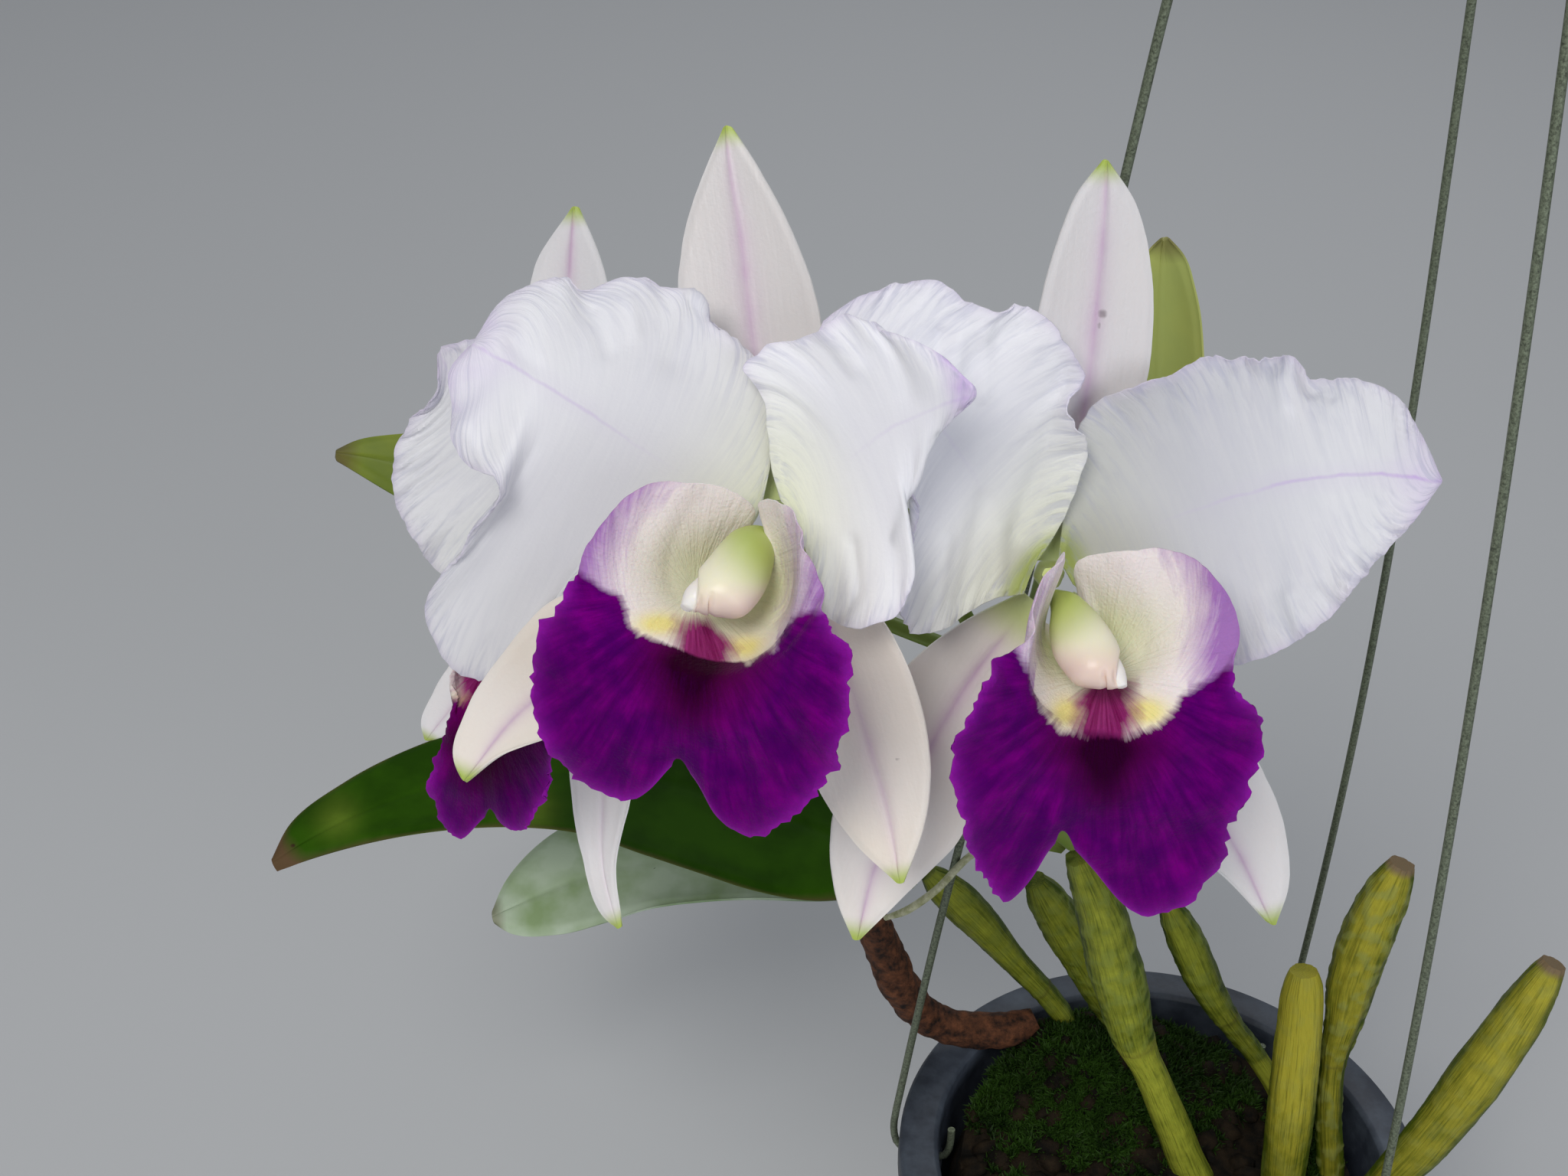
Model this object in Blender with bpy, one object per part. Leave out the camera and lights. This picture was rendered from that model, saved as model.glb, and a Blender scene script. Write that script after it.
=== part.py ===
"""A potted cattleya orchid in bloom, on a three-wire pot hanger.

Millimetres, measured from the centre of the pot's rim, with +Z up. The last step turns
them into metres and puts the origin at the hanger hook's bearing point.
"""
import math

import bpy
import numpy as np

# Hanger and pot
HOOK_RISE = 548.0
JOIN_HEIGHT = 500.0
WIRE_RADIUS = 0.9
WIRE_BOW = 1.63
WIRE_STEPS = 11
WIRE_ANGLES = {"left": 171.0, "back": 53.3, "right": -58.2}
# Slight bends of each wire as it was shaped by hand: a bow sideways, an S sideways,
# and a bow inward in its lower part
WIRE_BENDS = {"left": (0.0, 0.0, 5.0), "back": (1.8, -2.3, 0.0), "right": (-2.0, 0.0, 0.0)}
INWARD_TOP = 300.0
RIM_RADIUS = 63.0
RIM_INNER = 53.6
POT_HEIGHT = 108.0
POT_BASE = 41.0
POT_WALL = 1.8
HANGER_HOLE_DROP = 14.0
STEM_GAP = 0.6

# Plant
PETAL_THICK = 0.8
SEPAL_THICK = 1.0
LIP_THICK = 0.7
LEAF_THICK = 1.6
NORMAL_PASSES = 4

# The forms are drawn as a person in front of the plant sees them, on a sheet whose unit
# is DRAWN_UNIT of a millimetre at the blooms, and pushed back to their own depth.
EYE = np.array([-97.4, -369.0, 430.2])
LOOK_DOWN = math.radians(35.92)
HEAD_TILT = math.radians(2.87)
SHEET_DEPTH = 3000.0
SHEET_CENTRE = (1024.0, 768.0)
DRAWN_UNIT = 7.17

COLOURS = {
    "pot_plastic": ((0.10, 0.12, 0.17), 0.55, 0.0),
    "potting_bark": ((0.05, 0.045, 0.03), 0.95, 0.0),
    "hanger_wire": ((0.42, 0.45, 0.38), 0.45, 0.8),
    "bulb_skin": ((0.34, 0.44, 0.10), 0.55, 0.0),
    "dry_bulb_skin": ((0.52, 0.50, 0.16), 0.65, 0.0),
    "old_root": ((0.20, 0.11, 0.06), 0.85, 0.0),
    "aerial_root": ((0.62, 0.62, 0.45), 0.7, 0.0),
    "leaf_green": ((0.10, 0.22, 0.04), 0.4, 0.0),
    "flower_stalk": ((0.45, 0.55, 0.15), 0.5, 0.0),
    "petal_white": ((0.86, 0.84, 0.90), 0.5, 0.0),
    "sepal_white": ((0.86, 0.82, 0.80), 0.5, 0.0),
    "lip_purple": ((0.19, 0.005, 0.30), 0.5, 0.0),
    "column_cream": ((0.85, 0.83, 0.55), 0.45, 0.0),
}


def clear_scene():
    for item in list(bpy.data.objects):
        bpy.data.objects.remove(item, do_unlink=True)


def material(name):
    """The Principled material of that name, made once."""
    if name in bpy.data.materials:
        return bpy.data.materials[name]
    made = bpy.data.materials.new(name)
    made.use_nodes = True
    shader = made.node_tree.nodes["Principled BSDF"]
    colour, roughness, metallic = COLOURS[name]
    shader.inputs["Base Color"].default_value = (*colour, 1.0)
    shader.inputs["Roughness"].default_value = roughness
    shader.inputs["Metallic"].default_value = metallic
    return made


def view_axes():
    """Right, up and forward of the person who draws."""
    forward = np.array([0.0, math.cos(LOOK_DOWN), -math.sin(LOOK_DOWN)])
    level = np.array([1.0, 0.0, 0.0])
    upward = np.array([0.0, math.sin(LOOK_DOWN), math.cos(LOOK_DOWN)])
    right = math.cos(HEAD_TILT) * level + math.sin(HEAD_TILT) * upward
    up = -math.sin(HEAD_TILT) * level + math.cos(HEAD_TILT) * upward
    return right, up, forward


RIGHT, UP, FORWARD = view_axes()


def spot(across, down, depth):
    """The point at a place on the drawing sheet, at a depth in front of the eye."""
    x = (across - SHEET_CENTRE[0]) / SHEET_DEPTH
    y = (SHEET_CENTRE[1] - down) / SHEET_DEPTH
    return EYE + depth * (FORWARD + x * RIGHT + y * UP)


def spots(points):
    return [spot(*point) for point in points]


def spline(points, count, even=True):
    """A smooth curve through the points, read at equal lengths or at equal steps."""
    pts = np.array(points, float)
    steps = np.linalg.norm(np.diff(pts, axis=0), axis=1) + 1e-6
    slopes = np.diff(pts, axis=0) / steps[:, None]
    tangents = np.empty_like(pts)
    tangents[0] = slopes[0]
    tangents[-1] = slopes[-1]
    for i in range(1, len(pts) - 1):
        total = steps[i - 1] + steps[i]
        tangents[i] = (slopes[i - 1] * steps[i] + slopes[i] * steps[i - 1]) / total
    fine = []
    for i, step in enumerate(steps):
        for t in np.linspace(0.0, 1.0, 16, endpoint=False):
            h1 = 2 * t**3 - 3 * t**2 + 1
            h2 = t**3 - 2 * t**2 + t
            h3 = 3 * t**2 - 2 * t**3
            h4 = t**3 - t**2
            point = h1 * pts[i] + h2 * step * tangents[i] + h3 * pts[i + 1]
            fine.append(point + h4 * step * tangents[i + 1])
    fine.append(pts[-1])
    fine = np.array(fine)
    if even:
        along = np.concatenate([[0.0], np.cumsum(np.linalg.norm(np.diff(fine, axis=0), axis=1))])
    else:
        along = np.arange(len(fine), dtype=float)
    places = np.linspace(0.0, along[-1], count)
    return np.stack([np.interp(places, along, fine[:, k]) for k in range(pts.shape[1])], axis=1)


def add_object(name, points, faces, material_name, flat_angle=50.0):
    """One closed body from points in mm, shaded smooth where it is round."""
    metres = (np.array(points) - [0.0, 0.0, HOOK_RISE]) / 1000.0
    mesh = bpy.data.meshes.new(name)
    mesh.from_pydata([tuple(p) for p in metres], [], faces)
    mesh.materials.append(material(material_name))
    mesh.shade_smooth()
    mesh.set_sharp_from_angle(angle=math.radians(flat_angle))
    made = bpy.data.objects.new(name, mesh)
    bpy.context.collection.objects.link(made)
    return made


def sheet_normals(grid):
    along = np.gradient(grid, axis=0)
    across = np.gradient(grid, axis=1)
    normal = np.cross(along, across)
    normal /= np.linalg.norm(normal, axis=2)[..., None] + 1e-9
    for end, inner, third in ((0, 1, 2), (-1, -2, -3)):
        normal[end] = normal[third].mean(axis=0)
        normal[inner] = 0.3 * normal[inner] + 0.7 * normal[end]
        normal[third] = 0.6 * normal[third] + 0.4 * normal[end]
    for _ in range(NORMAL_PASSES):
        padded = np.pad(normal, ((1, 1), (1, 1), (0, 0)), mode="edge")
        normal = 2 * normal + padded[2:, 1:-1] + padded[:-2, 1:-1]
        normal = normal + padded[1:-1, 2:] + padded[1:-1, :-2]
        normal /= np.linalg.norm(normal, axis=2)[..., None]
    return normal


def sheet_body(grid, thick):
    """Points and triangles of a grid's sheet made thick, split alike on both faces."""
    rows, cols = grid.shape[:2]
    offset = sheet_normals(grid) * thick / 2
    points = np.concatenate([(grid + offset).reshape(-1, 3), (grid - offset).reshape(-1, 3)])
    half = rows * cols
    front = []
    for i in range(rows - 1):
        for j in range(cols - 1):
            a = i * cols + j
            b = a + cols
            front.append((a, b, b + 1))
            front.append((a, b + 1, a + 1))
    back = [(c + half, b + half, a + half) for a, b, c in front]
    edge = [j for j in range(cols)]
    edge += [i * cols + cols - 1 for i in range(1, rows)]
    edge += [(rows - 1) * cols + j for j in range(cols - 2, -1, -1)]
    edge += [i * cols for i in range(rows - 2, 0, -1)]
    rim = []
    for p, q in zip(edge, edge[1:] + edge[:1]):
        rim.append((p, q, q + half))
        rim.append((p, q + half, p + half))
    return points, front + back + rim


def loft(left, middle, right, cols, belly=None):
    """A grid across three curves: rows run along them, columns from left to right."""
    across = np.linspace(-1.0, 1.0, cols)
    span = (right - left) / 2
    rise = (left + right) / 2 - middle
    side = span / (np.linalg.norm(span, axis=1)[:, None] + 1e-9)
    grid = []
    for s in across:
        sway = math.sin(s * math.pi / 2) * 0.5 + s * 0.5
        lift = 1.0 - math.cos(s * math.pi / 2)
        line = middle + sway * span + lift * rise
        if belly is not None:
            line = line + math.sin(math.pi * s) * belly[:, None] * side
        grid.append(line)
    return np.stack(grid, axis=1)


def ruffled(grid, height, waves, phase, reach=2.5, skew=0.7):
    """Waves that grow towards both margins, raised along the sheet's normal."""
    rows, cols = grid.shape[:2]
    t = np.linspace(0.0, 1.0, rows)[:, None]
    s = np.linspace(-1.0, 1.0, cols)[None, :]
    ends = np.clip(7.0 * t - 0.9, 0.0, 1.0) * np.clip(6.5 * (1.0 - t) - 0.6, 0.0, 1.0)
    grow = np.abs(s) ** reach * ends
    turn = 2 * np.pi * waves * t + phase + skew * np.sign(s)
    wave = np.sin(turn) + 0.35 * np.sin(2.3 * turn + 1.0)
    return grid + sheet_normals(grid) * (height * grow * wave)[..., None]


def tube_frames(path):
    """Two unit vectors across the path at each point, carried along without twist."""
    tangent = np.gradient(path, axis=0)
    tangent /= np.linalg.norm(tangent, axis=1)[:, None]
    start = np.cross(tangent[0], [0.0, 0.0, 1.0])
    if np.linalg.norm(start) < 0.2:
        start = np.cross(tangent[0], [1.0, 0.0, 0.0])
    first = start / np.linalg.norm(start)
    firsts = []
    seconds = []
    for direction in tangent:
        first = first - direction * np.dot(first, direction)
        first = first / np.linalg.norm(first)
        firsts.append(first)
        seconds.append(np.cross(direction, first))
    return np.array(firsts), np.array(seconds)


def oval(centre, across, up, sides, reaches=None):
    """One ring of points round a centre, from its two half axes."""
    reaches = reaches or [1.0]
    ring = []
    for k in range(sides):
        angle = 2 * math.pi * k / sides
        reach = reaches[k % len(reaches)]
        ring.append(centre + reach * (math.cos(angle) * across + math.sin(angle) * up))
    return ring


def closed_rings(rings, start, end):
    """Rings of points joined into a closed body with a point at each end."""
    sides = len(rings[0])
    points = [point for ring in rings for point in ring]
    faces = []
    for i in range(len(rings) - 1):
        for k in range(sides):
            a = i * sides + k
            b = i * sides + (k + 1) % sides
            faces.append((a, b, b + sides))
            faces.append((a, b + sides, a + sides))
    first = len(points)
    points += [start, end]
    last = (len(rings) - 1) * sides
    for k in range(sides):
        after = (k + 1) % sides
        faces.append((first, after, k))
        faces.append((first + 1, last + k, last + after))
    return points, faces


def tube_body(path, radii, sides, ridge=0.0, flatten=1.0):
    """Points and faces of a closed tube, with every second side raised as a ridge."""
    first, second = tube_frames(path)
    reaches = [1.0 + ridge, 1.0 - ridge]
    rings = []
    for i, centre in enumerate(path):
        across = radii[i] * first[i]
        rings.append(oval(centre, across, flatten * radii[i] * second[i], sides, reaches))
    return closed_rings(rings, path[0], path[-1])


def add_tube(name, path, radii, sides, material_name, ridge=0.0, flatten=1.0):
    points, faces = tube_body(path, radii, sides, ridge, flatten)
    return add_object(name, points, faces, material_name)


def swell(count, stations):
    """Radii along a tube, from (place 0 to 1, radius) stations."""
    places = np.linspace(0.0, 1.0, count)
    return np.interp(places, [s[0] for s in stations], [s[1] for s in stations])


def lathe(name, profile, sides, material_name):
    """A profile of (radius, height) turned round Z, closed on the axis at both ends."""
    points = []
    for radius, height in profile[1:-1]:
        for k in range(sides):
            angle = 2 * math.pi * k / sides
            points.append((radius * math.cos(angle), radius * math.sin(angle), height))
    faces = []
    rings = len(profile) - 2
    for i in range(rings - 1):
        for k in range(sides):
            a = i * sides + k
            b = i * sides + (k + 1) % sides
            faces.append((a, b, b + sides, a + sides))
    bottom = len(points)
    points.append((0.0, 0.0, profile[0][1]))
    points.append((0.0, 0.0, profile[-1][1]))
    last = (rings - 1) * sides
    for k in range(sides):
        after = (k + 1) % sides
        faces.append((bottom, after, k))
        faces.append((bottom + 1, last + k, last + after))
    return add_object(name, points, faces, material_name, 35.0)


def cut(target, cutters):
    """Take each cutter out of the target, then remove the cutters."""
    for cutter in cutters:
        step = target.modifiers.new("cut", "BOOLEAN")
        step.operation = "DIFFERENCE"
        step.solver = "MANIFOLD"
        step.object = cutter
    bpy.context.view_layer.update()
    evaluated = target.evaluated_get(bpy.context.evaluated_depsgraph_get())
    mesh = bpy.data.meshes.new_from_object(evaluated)
    target.modifiers.clear()
    target.data = mesh
    mesh.shade_smooth()
    mesh.set_sharp_from_angle(angle=math.radians(35.0))
    for cutter in cutters:
        bpy.data.objects.remove(cutter, do_unlink=True)


def rod(name, start, end, radius, sides=7):
    """A plain round cutter between two points."""
    path = np.linspace(np.array(start, float), np.array(end, float), 3)
    return add_tube(name, path, [radius] * 3, sides, "potting_bark")


# Hanger


# Radius and height of a wire's end, round the rim and in through the wall
WIRE_HOOK = [(64.6, 0.0), (64.7, -6.0), (63.4, -11.0), (59.5, -14.0), (55.0, -14.2),
             (51.6, -12.6), (50.6, -8.0), (50.7, -3.0)]


def wire_radius_at(height):
    """How far a hanger wire stands from the axis at a height over the rim."""
    return (RIM_RADIUS + WIRE_RADIUS + 0.6) * (1.0 - (height / JOIN_HEIGHT) ** WIRE_BOW)


def wire_route(side):
    """Down from the collar, over the rim, in through the wall and up again as a tail."""
    top = JOIN_HEIGHT - 14.0
    bow, bend, inward = WIRE_BENDS[side]
    route = []
    for height in np.linspace(top, 6.0, WIRE_STEPS):
        turn = math.pi * height / top
        sway = bow * math.sin(turn) + bend * math.sin(2 * turn)
        drawn_in = inward * math.sin(math.pi * min(height / INWARD_TOP, 1.0))
        route.append((wire_radius_at(height) - drawn_in, sway, height))
    for radius, height in WIRE_HOOK:
        route.append((radius, 0.0, height))
    angle = math.radians(WIRE_ANGLES[side])
    c, s = math.cos(angle), math.sin(angle)
    return [(r * c - sway * s, r * s + sway * c, z) for r, sway, z in route]


def build_hanger():
    for side in WIRE_ANGLES:
        route = wire_route(side)
        straight = np.array(route[:WIRE_STEPS])
        bent = spline(route[WIRE_STEPS - 1:], 17)
        path = np.concatenate([straight[:-1], bent])
        add_tube(f"hanger_wire_{side}", path, [WIRE_RADIUS] * len(path), 7, "hanger_wire")
    build_hook()


def build_hook():
    """A twisted collar that gathers the wires, and an open hook above it."""
    bend = 11.4
    centre = HOOK_RISE - 10.0
    route = [(0, 0, JOIN_HEIGHT - 13.4), (0, 0, JOIN_HEIGHT - 13.0), (0, 0, JOIN_HEIGHT - 8.0)]
    route += [(0, 0, JOIN_HEIGHT - 2.0), (0, 0, JOIN_HEIGHT + 2.0), (0.4, 0, JOIN_HEIGHT + 8.0)]
    route += [(4.5, 0, centre - 21.0), (9.8, 0, centre - 12.0)]
    for step in range(11):
        angle = math.radians(-12 + 204 * step / 10)
        route.append((bend * math.cos(angle), 0, centre + bend * math.sin(angle)))
    route += [(-13.6, 0, centre - 9.5)]
    radii = [4.0, 4.4, 4.6, 4.4, 3.4, 1.4] + [1.4] * (len(route) - 6)
    add_tube("hanger_hook", np.array(route, float), radii, 8, "hanger_wire")


# Pot


def build_pot():
    """A tapered plastic pot with a flat rim, drainage holes and three hanger holes."""
    floor = -POT_HEIGHT
    under = RIM_INNER + POT_WALL
    profile = [(0, floor + 2.0), (POT_BASE - 8.0, floor + 2.0), (POT_BASE - 6.0, floor)]
    profile += [(POT_BASE, floor), (under, -8.2), (RIM_RADIUS - 1.2, -8.0), (RIM_RADIUS, -7.0)]
    profile += [(RIM_RADIUS, -1.0), (RIM_RADIUS - 0.8, -0.1), (RIM_INNER + 1.2, 0.0)]
    profile += [(RIM_INNER, -1.0), (RIM_INNER - 0.2, -8.0), (POT_BASE - POT_WALL, floor + 4.0)]
    profile += [(0, floor + 4.0)]
    pot = lathe("pot", profile, 30, "pot_plastic")
    cutters = [rod("drain", (0, 0, floor - 4), (0, 0, floor + 9), 6.0)]
    for step in range(5):
        angle = math.radians(72 * step + 30)
        x, y = 22 * math.cos(angle), 22 * math.sin(angle)
        cutters.append(rod("drain", (x, y, floor - 4), (x, y, floor + 9), 4.5))
    for angle in WIRE_ANGLES.values():
        turn = np.array([math.cos(math.radians(angle)), math.sin(math.radians(angle)), 0])
        drop = np.array([0, 0, -HANGER_HOLE_DROP])
        cutters.append(rod("hanger_hole", turn * 48 + drop, turn * 61 + drop, 2.6))
    cut(pot, cutters)


def medium_height(x, y):
    """The top of the bark: a mound of old roots at the back left, with a few slow lumps."""
    far = min(math.hypot(x, y) / 50.0, 1.0)
    mound = 16.0 * math.exp(-((x + 14.0) / 26.0) ** 2 - ((y - 30.0) / 20.0) ** 2)
    lumps = 1.3 * math.sin(0.16 * x + 0.4) * math.cos(0.19 * y)
    lumps += 0.8 * math.sin(0.31 * x - 0.27 * y)
    return -8.0 + mound + lumps * (1.0 - far ** 4)


def build_medium(stems):
    """Bark that fills the pot, with a plain hole for each stem."""
    sides = 26
    rings = [12.0, 24.0, 34.0, 42.0, 47.6]
    points = []
    for ring in rings:
        for k in range(sides):
            angle = 2 * math.pi * (k + 0.5) / sides
            x, y = ring * math.cos(angle), ring * math.sin(angle)
            points.append((x, y, medium_height(x, y)))
    for radius, height in [(50.2, -19.0), (49.8, -24.0), (38.2, -POT_HEIGHT + 4.6)]:
        for k in range(sides):
            angle = 2 * math.pi * (k + 0.5) / sides
            points.append((radius * math.cos(angle), radius * math.sin(angle), height))
    faces = []
    for i in range(len(rings) + 2):
        for k in range(sides):
            a = i * sides + k
            b = i * sides + (k + 1) % sides
            faces.append((a, a + sides, b + sides))
            faces.append((a, b + sides, b))
    top = len(points)
    points.append((0, 0, medium_height(0, 0)))
    points.append((0, 0, -POT_HEIGHT + 4.6))
    last = (len(rings) + 2) * sides
    for k in range(sides):
        after = (k + 1) % sides
        faces.append((top, k, after))
        faces.append((top + 1, last + after, last + k))
    medium = add_object("growing_medium", points, faces, "potting_bark")
    cutters = []
    for path, radii in stems:
        sunk = [i for i, point in enumerate(path) if point[2] < medium_height(*point[:2]) + 4.0]
        buried = path[:max(sunk) + 2]
        along = buried[-1] - path[0]
        length = np.linalg.norm(along)
        along = along / length
        radius = 0.0
        for point, thick in zip(buried, radii):
            aside = np.linalg.norm(np.cross(point - path[0], along))
            radius = max(radius, aside + thick + STEM_GAP)
        cutters.append(rod("stem_hole", path[0] - 0.6 * along, path[0] + length * along, radius))
    cut(medium, cutters)


# Pseudobulbs: route on the sheet with depth, then radii along it, in mm

BULBS = {
    "pseudobulb_front": (
        [(1600, 1620, 576), (1572, 1560, 563), (1550, 1516, 553), (1527, 1459, 539),
         (1503, 1402, 526), (1479, 1350, 514), (1468, 1304, 505), (1453, 1248, 495),
         (1434, 1180, 484), (1408, 1118, 474)],
        [(0, 3.4), (0.2, 4.5), (0.34, 4.2), (0.46, 3.8), (0.53, 3.7), (0.61, 5.0), (0.73, 5.9),
         (0.86, 5.5), (0.95, 4.2), (1, 2.6)],
        "bulb_skin",
    ),
    "pseudobulb_middle": (
        [(1512, 1440, 602), (1470, 1345, 578), (1415, 1250, 556), (1352, 1150, 535)],
        [(0, 3.2), (0.3, 3.8), (0.55, 5.0), (0.8, 5.5), (0.94, 4.4), (1, 2.4)],
        "bulb_skin",
    ),
    "pseudobulb_left": (
        [(1432, 1406, 592), (1418, 1382, 586), (1382, 1318, 579), (1325, 1255, 570),
         (1262, 1186, 560), (1212, 1140, 553)],
        [(0, 2.6), (0.42, 2.8), (0.55, 3.2), (0.7, 4.3), (0.85, 5.0), (0.95, 4.0), (1, 2.2)],
        "bulb_skin",
    ),
    "pseudobulb_back": (
        [(1684, 1462, 583), (1668, 1425, 577), (1640, 1378, 569), (1603, 1331, 561),
         (1574, 1284, 553), (1549, 1228, 544), (1525, 1180, 536)],
        [(0, 2.6), (0.3, 2.5), (0.45, 2.7), (0.58, 3.5), (0.7, 4.4), (0.85, 4.4), (0.95, 3.4),
         (1, 2.0)],
        "bulb_skin",
    ),
    "pseudobulb_stub": (
        [(1668, 1590, 562), (1676, 1530, 553), (1686, 1450, 544), (1697, 1350, 535),
         (1703, 1268, 528)],
        [(0, 4.0), (0.2, 5.2), (0.45, 5.7), (0.7, 5.5), (0.9, 4.8), (0.97, 4.2), (1, 3.2)],
        "dry_bulb_skin",
    ),
    "pseudobulb_bare": (
        [(1742, 1590, 566), (1738, 1530, 560), (1737, 1421, 550), (1743, 1375, 545),
         (1757, 1322, 539), (1771, 1262, 533), (1797, 1195, 525), (1832, 1128, 518)],
        [(0, 3.0), (0.36, 3.1), (0.45, 3.0), (0.54, 4.0), (0.67, 5.6), (0.8, 6.0), (0.91, 5.2),
         (0.97, 4.0), (1, 2.8)],
        "dry_bulb_skin",
    ),
    "pseudobulb_leaning": (
        [(1738, 1612, 553), (1790, 1560, 540), (1853, 1500, 528), (1917, 1421, 520),
         (1977, 1338, 512), (2030, 1258, 505)],
        [(0, 3.0), (0.2, 3.6), (0.42, 5.3), (0.65, 6.2), (0.84, 5.4), (0.95, 4.0), (1, 2.6)],
        "dry_bulb_skin",
    ),
}
BULB_RINGS = 12
BULB_SIDES = 12


def build_bulbs():
    for name, (route, stations, skin) in BULBS.items():
        path = spline(spots(route), BULB_RINGS)
        add_tube(name, path, swell(BULB_RINGS, stations), BULB_SIDES, skin, 0.05)


def build_roots():
    """A dead brown root over the rim, and one thin live root in the air."""
    old = [(1140, 1196, 541), (1149, 1225, 548), (1178, 1290, 560), (1222, 1334, 571),
           (1275, 1346, 574), (1330, 1340, 574), (1352, 1330, 574)]
    path = spline(spots(old), 16)
    radii = swell(16, [(0, 2.2), (0.06, 4.2), (0.3, 4.8), (0.6, 4.4), (0.93, 4.4), (1, 2.6)])
    add_tube("old_root", path, radii, 10, "old_root", 0.06)
    thin = [(1318, 1100, 516), (1270, 1116, 509), (1222, 1163, 505), (1190, 1186, 510),
            (1157, 1199, 520)]
    path = spline(spots(thin), 12)
    add_tube("aerial_root", path, swell(12, [(0, 0.8), (0.8, 0.9), (1, 0.6)]), 7, "aerial_root")


LEAF_ROWS = 14
LEAF_COLS = 5

# Leaves: left edge, middle and right edge from foot to tip, on the sheet with depth

LEAVES = {
    "leaf_large": (
        [(1196, 1118, 556), (1130, 1050, 566), (1040, 985, 572), (900, 930, 574), (740, 925, 572),
         (571, 965, 566), (451, 1022, 556), (377, 1080, 546), (356, 1122, 540)],
        [(1200, 1126, 553), (1120, 1104, 556), (1000, 1062, 558), (840, 1020, 558),
         (690, 1012, 556), (560, 1032, 552), (450, 1072, 546), (356, 1128, 539)],
        [(1196, 1136, 551), (1150, 1162, 548), (1078, 1176, 545), (979, 1161, 542),
         (921, 1142, 541), (843, 1116, 540), (754, 1087, 540), (686, 1080, 540), (571, 1085, 540),
         (425, 1116, 540), (362, 1138, 539)],
    ),
    "leaf_pale": (
        [(1196, 1146, 561), (1080, 1110, 582), (960, 1060, 590), (820, 1050, 590),
         (717, 1093, 583), (660, 1153, 574), (643, 1190, 568)],
        [(1196, 1152, 559), (1060, 1150, 574), (940, 1130, 578), (820, 1130, 576),
         (730, 1158, 572), (643, 1199, 567)],
        [(1192, 1160, 558), (1080, 1176, 564), (984, 1174, 566), (921, 1177, 566),
         (843, 1188, 566), (791, 1205, 566), (728, 1221, 566), (660, 1216, 566), (646, 1206, 566)],
    ),
    "leaf_far_left": (
        [(1396, 1098, 479), (1300, 1020, 476), (1230, 950, 478), (1080, 800, 490), (860, 640, 514),
         (640, 570, 532), (517, 568, 528), (466, 576, 524), (440, 588, 521)],
        [(1392, 1106, 480), (1290, 1060, 478), (1200, 1000, 480), (1000, 850, 498),
         (780, 710, 518), (600, 630, 526), (500, 602, 522), (438, 594, 519)],
        [(1386, 1114, 481), (1280, 1092, 480), (1180, 1060, 482), (960, 930, 500), (740, 790, 515),
         (600, 690, 519), (512, 645, 518), (460, 614, 518), (440, 602, 518)],
    ),
    "leaf_upright": (
        [(1510, 1168, 535), (1490, 1040, 520), (1466, 880, 506), (1456, 700, 494),
         (1462, 520, 484), (1480, 390, 476), (1502, 326, 472), (1516, 312, 470)],
        [(1526, 1164, 534), (1526, 1000, 524), (1516, 840, 512), (1510, 680, 500),
         (1512, 520, 489), (1516, 400, 480), (1521, 312, 471)],
        [(1543, 1160, 532), (1564, 1040, 516), (1582, 880, 502), (1584, 700, 490),
         (1574, 520, 480), (1561, 380, 472), (1546, 334, 470), (1527, 312, 469)],
    ),
}


def build_leaves():
    for name, (left, middle, right) in LEAVES.items():
        edges = [spline(spots(curve), LEAF_ROWS) for curve in (left, middle, right)]
        grid = loft(*edges, LEAF_COLS)
        points, faces = sheet_body(grid, LEAF_THICK)
        add_object(name, points, faces, "leaf_green")


# Blooms: each form is drawn round its bloom's centre, (across, up, towards the viewer)

BLOOMS = {
    "a": {"centre": (1010, 672, 408), "turn": 0.40, "nod": 0.10},
    "b": {"centre": (1370, 750, 424), "turn": -0.30, "nod": 0.24},
    "c": {"centre": (735, 735, 462), "turn": 0.60, "nod": 0.10},
}

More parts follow.
